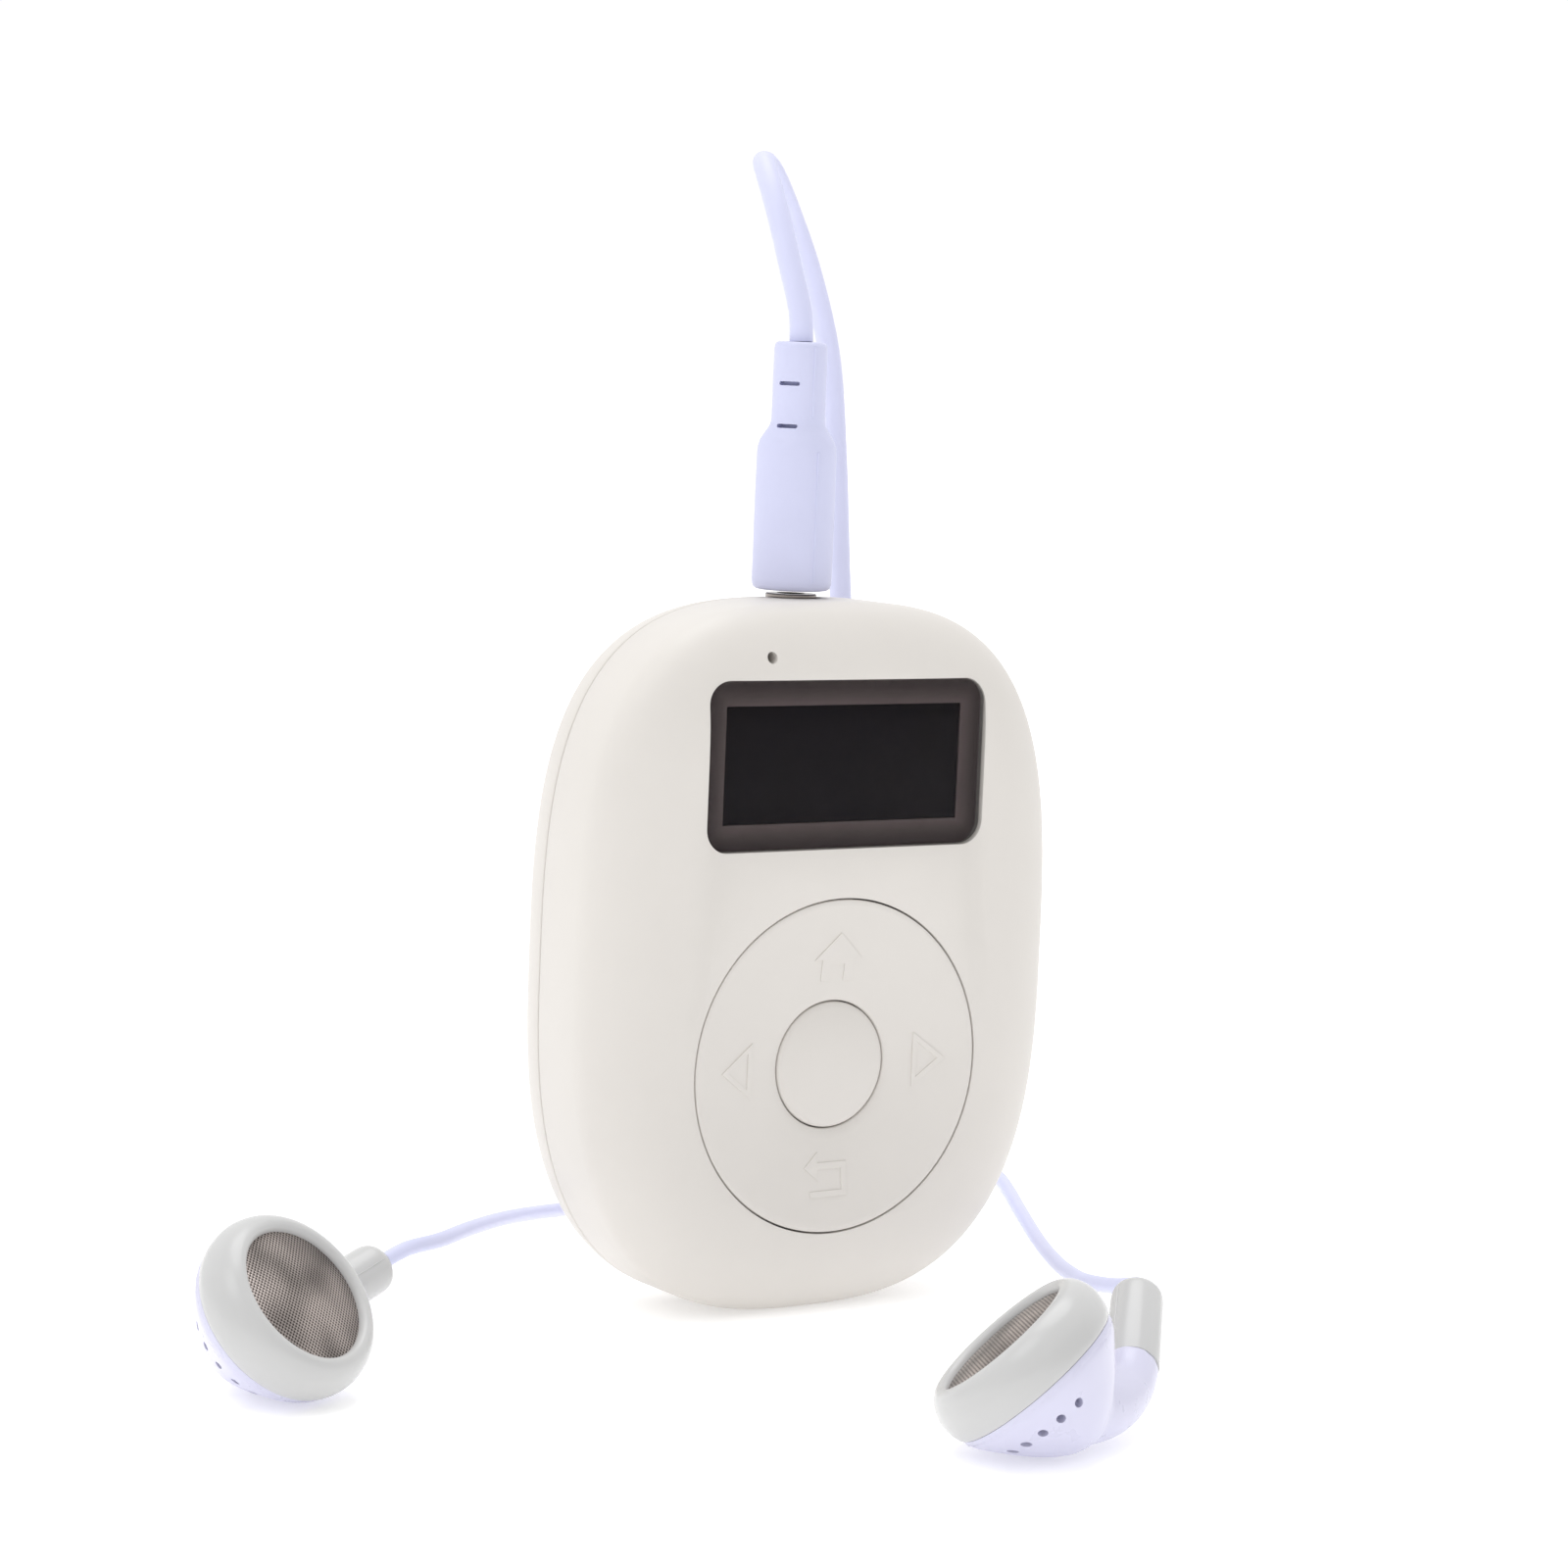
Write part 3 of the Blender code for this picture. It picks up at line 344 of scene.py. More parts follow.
def circuit_board():
    """Solder mask over copper tracks."""
    made, tree, shader = new_material("circuit_green")
    place = add(tree, "ShaderNodeTexCoord")
    tracks = add(tree, "ShaderNodeTexVoronoi", feature="DISTANCE_TO_EDGE", _Scale=420.0)
    tree.links.new(place.outputs["Object"], tracks.inputs["Vector"])
    colours = ramp(tree, tracks.outputs["Distance"], 0.04, 0.10, (0.05, 0.24, 0.10), (0.015, 0.13, 0.055))
    tree.links.new(colours, shader.inputs["Base Color"])
    bump = bumped(tree, shader, tracks.outputs["Distance"], 0.3, 0.03)
    bump.invert = True
    put(shader, Roughness=0.33)
    return made


def make_materials():
    """Plain ones: colour, roughness, grain per metre, grain depth, mottle and, on a metal, its metalness."""
    ivory = (0.704, 0.673, 0.636)
    lilac = (0.640, 0.655, 0.865)
    plain = {
        "shell_plastic": (ivory, 0.46, 3000.0, 0.02, 0.012),
        "button_plastic": (shade(ivory, 0.99), 0.40, 3400.0, 0.014, 0.012),
        "inner_plastic": (shade(ivory, 0.9), 0.55, 2400.0, 0.02, 0.03),
        "lens_mask": ((0.260, 0.200, 0.200), 0.35, 1800.0, 0.01, 0.08),
        "black_foam": ((0.03, 0.03, 0.03), 0.92, 2600.0, 0.12, 0.3),
        "amber_film": ((0.55, 0.26, 0.05), 0.32, 1500.0, 0.01, 0.12),
        "black_resin": ((0.025, 0.025, 0.028), 0.5, 2600.0, 0.03, 0.2),
        "bright_metal": ((0.72, 0.72, 0.74), 0.26, 2000.0, 0.01, 0.06, 1.0),
        # Plug contacts: chrome, with its colour darkened as painted shade for the shadow on the flange
        # between boot and body.
        "dark_chrome": ((0.30, 0.27, 0.25), 0.18, 1400.0, 0.004, 0.08, 1.0),
        "gold_plate": ((0.85, 0.62, 0.25), 0.22, 1800.0, 0.006, 0.06, 1.0),
        "steel": ((0.50, 0.50, 0.52), 0.34, 2200.0, 0.015, 0.1, 1.0),
        "battery_foil": ((0.66, 0.67, 0.70), 0.36, 420.0, 0.12, 0.06, 0.8),
        "red_wire": ((0.55, 0.03, 0.03), 0.45, 1800.0, 0.01, 0.1),
        "black_wire": ((0.02, 0.02, 0.02), 0.45, 1800.0, 0.01, 0.2),
        "diaphragm_film": ((0.45, 0.42, 0.36), 0.3, 900.0, 0.02, 0.08),
    }
    made = {name: moulded(name, *values) for name, values in plain.items()}
    for name, values, extra in (
            ("display_glass", ((0.005, 0.005, 0.009), 0.12, 900.0, 0.002, 0.3), {"specular": 0.08}),
            ("cord_plastic", (lilac, 0.45, 1600.0, 0.01, 0.02), {"patch": 140.0}),
            ("boot_plastic", (shade(lilac, 0.95), 0.50, 2300.0, 0.02, 0.02), {"patch": 140.0}),
            ("earbud_shell", ((0.640, 0.634, 0.780), 0.28, 4200.0, 0.003, 0.006), {"spread": 0.012}),
            ("earbud_grey", ((0.550, 0.550, 0.548), 0.25, 4200.0, 0.003, 0.006), {"spread": 0.012})):
        made[name] = moulded(name, *values, **extra)
    made["smoked_lens"] = smoked_lens()
    made["circuit_green"] = circuit_board()
    made["grille_metal"] = woven_metal()
    made["tie_black"] = strap_cloth()
    return made


# ----------------------------------------------------------- shape helpers
def at(x, y, z):
    return Matrix.Translation(Vector((x, y, z)) * MM)


def facing_front(x, z):
    """A frame on the face: its own +Z comes out of the face, at world -Y."""
    return at(x, 0.0, z) @ Matrix.Rotation(math.radians(90.0), 4, "X")


def add_object(name, mesh, material_name, matrix=None):
    thing = bpy.data.objects.new(name, mesh)
    bpy.context.scene.collection.objects.link(thing)
    mesh.materials.clear()
    mesh.materials.append(MATERIALS[material_name])
    if matrix is not None:
        thing.matrix_world = matrix
    return thing


def shade_smooth(mesh, smooth_angle=40.0):
    """Smooth shading, with edges sharper than the angle kept crisp."""
    mesh.shade_smooth()
    mesh.set_sharp_from_angle(angle=math.radians(smooth_angle))


def mesh_from(name, form, smooth_angle=40.0):
    bmesh.ops.scale(form, vec=(MM, MM, MM), verts=form.verts)
    bmesh.ops.recalc_face_normals(form, faces=form.faces)
    mesh = bpy.data.meshes.new(name)
    form.to_mesh(mesh)
    form.free()
    shade_smooth(mesh, smooth_angle)
    return mesh


def finish_piece(thing, body, slot, *nodes):
    """Ride the body and stand for its CAD nodes.

    A grille keeps its own axes, which its weave follows; every other mesh takes the world's.
    """
    if slot != "grille_metal":
        thing.data.transform(thing.matrix_world)
        thing.matrix_world = Matrix.Identity(4)
    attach(thing, body)
    if nodes:
        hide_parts(*nodes)
    return thing


def settle(thing, smooth_angle=40.0):
    """Apply the modifiers to the piece's own mesh."""
    bpy.context.view_layer.update()
    view = bpy.context.evaluated_depsgraph_get()
    mesh = bpy.data.meshes.new_from_object(thing.evaluated_get(view))
    old = thing.data
    thing.modifiers.clear()
    thing.data = mesh
    mesh.name = thing.name
    bpy.data.meshes.remove(old)
    shade_smooth(mesh, smooth_angle)
    return thing


def combine(thing, others, operation):
    """Cut the others away or melt them in, and remove them."""
    for other in others:
        modifier = thing.modifiers.new(other.name, "BOOLEAN")
        modifier.operation = operation
        modifier.object = other
        modifier.solver = "EXACT"
    settle(thing)
    for other in others:
        bpy.data.objects.remove(other, do_unlink=True)
    return thing


def soften(thing, width, segments=3, angle=40.0):
    modifier = thing.modifiers.new("soft_edges", "BEVEL")
    modifier.width = width * MM
    modifier.segments = segments
    modifier.limit_method = "ANGLE"
    modifier.angle_limit = math.radians(angle)
    modifier.harden_normals = False
    return settle(thing, 50.0)


def box(name, low, high, material_name, matrix=None):
    form = bmesh.new()
    size = [b - a for a, b in zip(low, high)]
    centre = [(a + b) / 2 for a, b in zip(low, high)]
    bmesh.ops.create_cube(form, size=1.0)
    bmesh.ops.scale(form, vec=size, verts=form.verts)
    bmesh.ops.translate(form, vec=centre, verts=form.verts)
    return add_object(name, mesh_from(name, form), material_name, matrix)


def cylinder(name, radius, low, high, material_name, matrix=None, sides=64):
    form = bmesh.new()
    bmesh.ops.create_cone(form, cap_ends=True, segments=sides, radius1=radius, radius2=radius,
                          depth=high - low)
    bmesh.ops.translate(form, vec=(0.0, 0.0, (low + high) / 2), verts=form.verts)
    return add_object(name, mesh_from(name, form), material_name, matrix)


def revolve(name, profile, material_name, matrix=None, sides=128, closed=False):
    """A turned piece through (radius, height) points; a radius of 0 is a pole."""
    form = bmesh.new()
    rings = []
    for radius, height in profile:
        if radius < 1e-6:
            rings.append([form.verts.new((0.0, 0.0, height))])
            continue
        rings.append([form.verts.new((radius * math.cos(a), radius * math.sin(a), height))
                      for a in (2 * math.pi * i / sides for i in range(sides))])
    pairs = list(zip(rings, rings[1:]))
    if closed:
        pairs.append((rings[-1], rings[0]))
    for near, far in pairs:
        for i in range(sides):
            j = (i + 1) % sides
            corners = [near[i % len(near)], near[j % len(near)], far[j % len(far)], far[i % len(far)]]
            unique = list(dict.fromkeys(corners))
            if len(unique) > 2:
                form.faces.new(unique)
    return add_object(name, mesh_from(name, form), material_name, matrix)


def loft(name, sections, material_name, matrix=None, closed=False):
    """A skin over matching outlines, capped at both ends unless it closes on itself."""
    form = bmesh.new()
    rings = [[form.verts.new(point) for point in section] for section in sections]
    count = len(rings[0])
    for near, far in zip(rings, rings[1:] + (rings[:1] if closed else [])):
        for i in range(count):
            j = (i + 1) % count
            form.faces.new((near[i], near[j], far[j], far[i]))
    if not closed:
        form.faces.new(rings[0])
        form.faces.new(rings[-1])
    return add_object(name, mesh_from(name, form), material_name, matrix)


def smooth_path(route, step):
    """Points about one step apart on a smooth curve through a route's points."""
    knots = [Vector(point) for point in route]
    knots = [knots[0] * 2 - knots[1]] + knots + [knots[-1] * 2 - knots[-2]]
    dense = []
    fine = 24
    for a, b, c, d in zip(knots, knots[1:], knots[2:], knots[3:]):
        for i in range(fine):
            t = i / fine
            dense.append(0.5 * (2 * b + (c - a) * t + (2 * a - 5 * b + 4 * c - d) * t ** 2
                                + (3 * b - a - 3 * c + d) * t ** 3))
    dense.append(knots[-2])
    lengths = [0.0]
    for a, b in zip(dense, dense[1:]):
        lengths.append(lengths[-1] + (b - a).length)
    count = max(2, round(lengths[-1] / step))
    path = []
    place = 0
    for i in range(count + 1):
        wanted = lengths[-1] * i / count
        while place < len(lengths) - 2 and lengths[place + 1] < wanted:
            place += 1
        share = (wanted - lengths[place]) / (lengths[place + 1] - lengths[place])
        path.append(dense[place].lerp(dense[place + 1], min(1.0, share)))
    return path


def tube(name, path, radii, material_name, matrix=None, sides=20):
    """A closed tube along a path; radii is one radius, or one for each point."""
    if not isinstance(radii, (list, tuple)):
        radii = [radii] * len(path)
    points = [Vector(p) for p in path]
    ways = []
    for i in range(len(points)):
        ways.append((points[min(i + 1, len(points) - 1)] - points[max(i - 1, 0)]).normalized())
    side = ways[0].cross(Vector((0.3, 0.5, 0.81))).normalized()
    form = bmesh.new()
    rings = []
    for point, way, radius in zip(points, ways, radii):
        side = (side - way * side.dot(way)).normalized()
        other = way.cross(side)
        rings.append([form.verts.new(point + (side * math.cos(a) + other * math.sin(a)) * radius)
                      for a in (2 * math.pi * i / sides for i in range(sides))])
    for near, far in zip(rings, rings[1:]):
        for i in range(sides):
            j = (i + 1) % sides
            form.faces.new((near[i], near[j], far[j], far[i]))
    form.faces.new(rings[0])
    form.faces.new(rings[-1])
    return add_object(name, mesh_from(name, form, 60.0), material_name, matrix)


def rounded_rectangle(half_width, half_height, corner, arc_points=5):
    outline = []
    for quarter, (sx, sy) in enumerate(((1, 1), (-1, 1), (-1, -1), (1, -1))):
        for i in range(arc_points):
            angle = math.radians(90.0) * (quarter + i / (arc_points - 1))
            outline.append((sx * (half_width - corner) + corner * math.cos(angle),
                            sy * (half_height - corner) + corner * math.sin(angle)))
    return outline


def join_pieces(name, things):
    """One object from several, all sharing the first one's place and material."""
    form = bmesh.new()
    base = things[0].matrix_world.inverted()
    for thing in things:
        part = bmesh.new()
        part.from_mesh(thing.data)
        bmesh.ops.transform(part, matrix=base @ thing.matrix_world, verts=part.verts)
        spare = bpy.data.meshes.new("spare")
        part.to_mesh(spare)
        part.free()
        form.from_mesh(spare)
        bpy.data.meshes.remove(spare)
    mesh = bpy.data.meshes.new(name)
    form.to_mesh(mesh)
    form.free()
    mesh.materials.append(things[0].data.materials[0])
    first = things[0]
    first.data = mesh
    first.name = name
    shade_smooth(mesh)
    for thing in things[1:]:
        bpy.data.objects.remove(thing, do_unlink=True)
    return first


# ------------------------------------------------------------------- cords
def coil_points(centre, start_angle, sense, stations, per_turn=30):
    """Points of a coil: stations are (turn, radius, height), eased in between."""
    points = []
    last = stations[-1][0]
    count = round(last * per_turn)
    for i in range(count + 1):
        turn = last * i / count
        for (t0, r0, z0), (t1, r1, z1) in zip(stations, stations[1:]):
            if turn <= t1:
                break
        share = min(1.0, max(0.0, (turn - t0) / (t1 - t0)))
        share = share * share * (3 - 2 * share)
        radius = r0 + (r1 - r0) * share
        height = z0 + (z1 - z0) * share
        angle = math.radians(start_angle + sense * 360.0 * turn)
        points.append((centre[0] + radius * math.cos(angle), centre[1] + radius * math.sin(angle), height))
    return points


def split_point(along, across, up):
    heading = math.radians(SPLIT_HEADING)
    return (SPLIT_START[0] + along * math.cos(heading) - across * math.sin(heading),
            SPLIT_START[1] + along * math.sin(heading) + across * math.cos(heading), up)


def length_of(path):
    return sum((Vector(b) - Vector(a)).length for a, b in zip(path, path[1:]))


def main_cord_path():
    """Down from the plug, into four layers of turns, and out to the split."""
    top, second, third, lowest = COIL_LAYER_Z
    inner, middle, outer = COIL_TURN_R
    stations = [(0.0, 11.45, 10.1), (0.26, middle, top), (1.08, middle, top), (1.24, inner, top),
                (1.38, inner, second)]
    layers = ((second, (0, 1, 2), 2.0), (third, (2, 1, 0), 4.97), (lowest, (0, 1, 2), 8.0))
    for layer, (height, order, start) in enumerate(layers):
        for step, index in enumerate(order):
            end = start + step + 0.06
            stations.append((end, COIL_TURN_R[index], height))
            if step < 2:
                stations.append((end + 0.18, COIL_TURN_R[order[step + 1]], height))
        if layer < 2:
            stations.append((start + 2.06 + 0.2, COIL_TURN_R[order[2]], COIL_LAYER_Z[layer + 2]))
    stations.append((10.408, outer, lowest))
    coil = coil_points(MAIN_COIL_CENTRE, 241.9, -1, stations)
    tail = [split_point(-5.6, 0.0, 1.7), split_point(-2.0, 0.0, 1.95), split_point(0.4, 0.0, SPLIT_Z)]
    start = smooth_path(MAIN_CORD_ROUTE + [coil[1]], 1.3)
    end = smooth_path([coil[-2], coil[-1]] + tail, 1.3)
    return start[:-1] + [Vector(p) for p in coil[1:-1]] + end[1:]


def lead_path(route, start_across, heights, final_turn):
    """From the split into the leads' coil, round it, and out along the route to the bud."""
    low, high = heights
    wide, medium, tight = LEADS_TURN_R
    stations = [(0.0, wide, low), (0.88, wide, low), (1.08, medium, low), (1.88, medium, low),
                (2.08, tight, low), (2.84, tight, low), (3.02, tight, high), (3.24, tight, high),
                (3.46, medium, high), (3.9, medium, high), (4.14, wide, high), (final_turn, wide, high)]
    coil = coil_points(LEADS_COIL_CENTRE, -82.0, 1, stations, 26)
    rise = low - SPLIT_Z
    entry = [split_point(8.8, start_across, SPLIT_Z),
             split_point(10.6, start_across, SPLIT_Z + rise * 0.15),
             split_point(15.0, start_across * 0.8 - 0.4, SPLIT_Z + rise * 0.7)]
    start = smooth_path(entry + coil[:2], 1.0)
    back = list(reversed(route))
    end = smooth_path([coil[-2], coil[-1]] + back[1:], 1.3)
    return start[:-1] + [Vector(p) for p in coil[1:-1]] + end[1:]


def make_main_cord():
    path = main_cord_path()
    cord = tube("main_cord_tube", path, CORD_D / 2, "cord_plastic", None, 18)
    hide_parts("main_cord", "main_cord_coil")
    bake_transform(cord)
    return cord, path


def make_leads():
    made = {}
    for side, route, across, heights, turns, nodes in (
            ("left", LEFT_LEAD_ROUTE, 0.85, (0.98, 2.3), 4.478, ("left_lead", "leads_coil")),
            ("right", RIGHT_LEAD_ROUTE, -0.85, (3.64, 4.95), 4.783, ("right_lead",))):
        path = lead_path(route, across, heights, turns)
        lead = tube(side + "_lead_tube", path, LEAD_D / 2, "cord_plastic", None, 14)
        finish_piece(lead, "player", "cord_plastic", *nodes)
        made[side] = (lead, path)
    return made


def make_cord_tie():
    """A strap in one closed loop around the turns."""
    inner, outer = MAIN_COIL_R
    turn = at(*MAIN_COIL_CENTRE, 0.0) @ Matrix.Rotation(math.radians(TIE_ANGLE), 4, "Z")
    low, high, half = 0.05, MAIN_COIL_Z[1] - 0.05, 2.0
    near, far = inner - 0.35, outer + 0.12
    middle, up = (near + far) / 2, (low + high) / 2
    outline = rounded_rectangle((far - near) / 2 + 0.2, (high - low) / 2 + 0.2, 1.1, 6)
    thick = 0.42
    sections = []
    for across, shrink in ((-half, 0.0), (half, 0.0), (half, thick), (-half, thick)):
        sections.append([(middle + x * (1 - shrink / ((far - near) / 2)), across,
                          up + 0.15 + z * (1 - shrink / ((high - low) / 2))) for x, z in outline])
    strap = loft("cord_tie_strap", sections, "tie_black", turn, closed=True)
    soften(strap, 0.12, 2)
    finish_piece(strap, "player", "tie_black", "cord_tie")
    return strap


def make_y_split():
    """The moulding where the main cord becomes two leads: (along, half width, half height)."""
    stations = ((-0.05, 1.15, 1.15), (0.1, 1.3, 1.3), (0.9, 1.55, 1.45), (2.2, 1.85, 1.58),
                (4.2, 2.15, 1.66), (6.4, 2.34, 1.66), (8.0, 2.36, 1.52), (8.7, 2.26, 1.34), (9.0, 1.95, 1.1))
    sections = []
    for along, half_width, half_height in stations:
        outline = rounded_rectangle(half_width, half_height, min(half_width, half_height) * 0.85, 8)
        sections.append([(along, across, up) for across, up in outline])
    place = at(*SPLIT_START, SPLIT_Z) @ Matrix.Rotation(math.radians(SPLIT_HEADING), 4, "Z")
    split = loft("y_split_moulding", sections, "boot_plastic", place)
    finish_piece(split, "player", "cord_plastic", "y_split")
    return split


# ------------------------------------------------------------- player body
def body_outline(inset):
    """The pebble's outline at (x, z): two superellipse halves, moved in by the inset."""
    points = []
    for i in range(OUTLINE_POINTS):
        angle = 2 * math.pi * i / OUTLINE_POINTS
        across, up = math.cos(angle), math.sin(angle)
        squareness = TOP_SQUARENESS if up >= 0 else BOTTOM_SQUARENESS
        reach = TOP_RISE if up >= 0 else BOTTOM_DROP
        x = HALF_WIDTH * math.copysign(abs(across) ** (2 / squareness), across)
        z = WIDEST_Z + reach * math.copysign(abs(up) ** (2 / squareness), up)
        points.append(Vector((x, z)))
    moved = []
    for i, point in enumerate(points):
        along = points[(i + 1) % OUTLINE_POINTS] - points[i - 1]
        inward = Vector((-along.y, along.x)).normalized()
        moved.append(point + inward * inset)
    return moved


def body_section(inset, y):
    return [(point.x, y, point.y) for point in body_outline(inset)]


def rounded_edge(inset, depth, start, forward, angles, wall=0.0):
    """Points (inset, y) round an elliptical edge, moved in by the wall's thickness."""
    line = []
    for angle in angles:
        c, s = math.cos(math.radians(angle)), math.sin(math.radians(angle))
        steep = math.hypot(depth * c, inset * s)
        line.append((inset * (1 - c) + wall * depth * c / steep,
                     start + forward * (depth * (1 - s) + wall * inset * s / steep)))
    return line


def screen_section(half_width, half_height, corner, y):
    outline = rounded_rectangle(half_width, half_height, corner, 12)
    return [(x, y, SCREEN_Z + z) for x, z in outline]


def make_front_shell():
    outer = rounded_edge(FACE_ROUND_IN, FACE_ROUND_DEEP, FACE_Y, 1, [90 - 5 * i for i in range(19)])
    inner = rounded_edge(FACE_ROUND_IN, FACE_ROUND_DEEP, FACE_Y, 1, (0, 22, 45, 68, 90), WALL)
    rim_y = PARTING_Y - SEAM / 2
    rim = [(0.0, rim_y - 0.12), (0.035, rim_y - 0.035), (0.12, rim_y), (WALL, rim_y)]
    shell = loft("front_case", [body_section(inset, y) for inset, y in outer + rim + inner], "shell_plastic")
    window = (LENS_HALF[0] + LENS_GAP, LENS_HALF[1] + LENS_GAP, LENS_CORNER + 0.1)
    cutters = [
        loft("window_cutter", [screen_section(*window, y) for y in (-10.0, -4.0)], "inner_plastic"),
        cylinder("ring_cutter", RING_OPENING_R, 4.0, 10.0, "inner_plastic", facing_front(0.0, RING_Z), 160),
        cylinder("mic_cutter", 0.5, 3.0, 10.0, "inner_plastic", facing_front(MIC_X, MIC_Z), 32),
        cylinder("jack_cutter", JACK_OPENING_R, 57.0, 63.0, "inner_plastic", at(0.0, JACK_Y, 0.0)),
        box("usb_cutter", (-4.1, -2.3, -1.0), (4.1, 0.9, 3.0), "inner_plastic"),
        box("slider_cutter", (20.0, SLIDER_Y - 0.9, 36.5), (25.0, SLIDER_Y + 0.9, 41.5),
            "inner_plastic"),
    ]
    combine(shell, cutters, "DIFFERENCE")
    soften(shell, 0.10, 2, 50.0)
    finish_piece(shell, "player", "shell_plastic", "front_shell")


def make_rear_cover():
    depth = BACK_Y - PARTING_Y - SEAM / 2
    outer = rounded_edge(BACK_ROUND_IN, depth, BACK_Y, -1, [90 - 6 * i for i in range(15)])
    rim_y = PARTING_Y + SEAM / 2
    rim = [(0.0, rim_y + 0.12), (0.035, rim_y + 0.035), (0.12, rim_y), (WALL, rim_y)]
    inner = rounded_edge(BACK_ROUND_IN, depth, BACK_Y, -1, (8, 30, 50, 70, 90), WALL)
    cover = loft("rear_case", [body_section(inset, y) for inset, y in outer + rim + inner], "shell_plastic")
    jack = at(0.0, JACK_Y, 0.0)
    cutters = [cylinder("rear_jack_cutter", JACK_OPENING_R, 53.0, 63.0, "inner_plastic", jack)]
    for side in (-1, 1):
        place = facing_front(side * CASE_SCREW_X, CASE_SCREW_Z)
        cutters.append(cylinder("recess_%d" % side, 1.75, -9.0, -6.5, "inner_plastic", place, 48))
    combine(cover, cutters, "DIFFERENCE")
    soften(cover, 0.10, 2, 50.0)
    finish_piece(cover, "player", "shell_plastic", "rear_cover")


def make_case_screws():
    """Countersunk crosshead screws in the rear cover's recesses."""
    profile = [(0.0, 7.62), (0.9, 7.6), (1.3, 7.5), (1.48, 7.3), (1.5, 7.1), (1.5, 6.7), (0.78, 6.7),
               (0.78, -1.2), (0.4, -1.5), (0.0, -1.6)]
    for side, x in (("left", -CASE_SCREW_X), ("right", CASE_SCREW_X)):
        place = facing_front(x, CASE_SCREW_Z) @ Matrix.Rotation(math.pi, 4, "X")
        screw = revolve(side + "_crosshead_screw", profile, "steel", place, 48)
        cross = [box("cross_a", (-0.85, -0.17, 7.0), (0.85, 0.17, 8.2), "steel", place),
                 box("cross_b", (-0.17, -0.85, 7.0), (0.17, 0.85, 8.2), "steel", place)]
        combine(screw, cross, "DIFFERENCE")
        finish_piece(screw, "player", "steel", side + "_case_screw")


# ------------------------------------------------------------------ screen
def make_screen():
    """Clear pillowed lens over a dark mask with the display behind its window."""
    crown = ((6.0, -8.2), (4.4, -8.19), (3.0, -8.15), (2.0, -8.08), (1.2, -7.98), (0.7, -7.87),
             (0.35, -7.74), (0.12, -7.58), (0.0, -7.35), (0.0, -7.0), (0.25, -6.95), (4.0, -6.95))
    sections = [screen_section(LENS_HALF[0] - inset, LENS_HALF[1] - inset, max(0.4, LENS_CORNER - inset), y)
                for inset, y in crown]
    lens = loft("screen_lens_window", sections, "smoked_lens")
    finish_piece(lens, "player", "smoked_lens", "screen_lens")
    sections = [screen_section(14.03, 7.1, LENS_CORNER, y) for y in (-6.85, -6.2)]
    mask = loft("screen_mask", sections, "lens_mask")
    w, h = DISPLAY_HALF
    window = box("mask_cutter", (-w, -8.0, SCREEN_Z - h), (w, -5.0, SCREEN_Z + h), "lens_mask")
    combine(mask, [window], "DIFFERENCE")
    finish_piece(mask, "player", "smoked_lens")
    panel = box("display_face", (-w + 0.02, -6.75, SCREEN_Z - h + 0.02),
                (w - 0.02, -5.3, SCREEN_Z + h - 0.02), "display_glass")
    soften(panel, 0.06, 2)
    finish_piece(panel, "player", "display_glass", "display_panel")


# ---------------------------------------------------------------- controls
def dish_height(radius):
    """How far the control ring's surface stands in front of y = 0, at this radius."""
    return 6.74 + (radius - 5.7) * 0.129


def make_ring():
    rim = RING_OUTER_R
    profile = [(RING_INNER_R, 6.55), (RING_INNER_R + 0.05, 6.66), (RING_INNER_R + 0.16, 6.73)]
    profile += [(radius, dish_height(radius))
                for radius in (6.4, 7.4, 8.4, 9.4, 10.4, 11.4, 12.4, 13.2, 13.7)]
    profile += [(rim - 0.14, dish_height(rim - 0.14) - 0.01), (rim - 0.04, dish_height(rim) - 0.08),
                (rim, 7.6), (rim, 5.8), (15.2, 5.8), (15.2, 5.2), (9.7, 5.2), (9.7, 5.75),
                (RING_INNER_R, 5.75)]
    ring = revolve("control_ring_cap", profile, "button_plastic", facing_front(0.0, RING_Z), 160, closed=True)
    lugs = []
    for up in (8.9, -8.9):
        lugs.append(box("lug_%d" % up, (-1.0, -6.0, RING_Z + up - 0.4), (1.0, -4.0, RING_Z + up + 0.4),
                        "button_plastic"))
    combine(ring, lugs, "UNION")
    finish_piece(ring, "ring", "button_plastic", "control_ring")


def raised_shape(name, outline, holes=()):
    """A flat symbol moulded on the ring: (x, z) about the ring's centre, rounded over."""
    data = bpy.data.curves.new(name, "CURVE")
    data.dimensions = "2D"
    data.fill_mode = "BOTH"
    data.extrude = 0.06 * MM
    data.bevel_depth = 0.035 * MM
    data.bevel_resolution = 2
    for line in (outline, *holes):
        spline = data.splines.new("POLY")
        spline.points.add(len(line) - 1)
        for point, (x, z) in zip(spline.points, line):
            point.co = (x * MM, z * MM, 0.0, 1.0)
        spline.use_cyclic_u = True
    source = bpy.data.objects.new(name + "_outline", data)
    bpy.context.scene.collection.objects.link(source)
    bpy.context.view_layer.update()
    view = bpy.context.evaluated_depsgraph_get()
    mesh = bpy.data.meshes.new_from_object(source.evaluated_get(view))
    bpy.data.objects.remove(source, do_unlink=True)
    for vertex in mesh.vertices:
        radius = math.hypot(vertex.co.x, vertex.co.y) / MM
        vertex.co.z += (dish_height(radius) - 0.02) * MM
    mesh.name = name
    shade_smooth(mesh)
    symbol = add_object(name, mesh, "button_plastic", facing_front(0.0, RING_Z))
    finish_piece(symbol, "ring", "button_plastic")


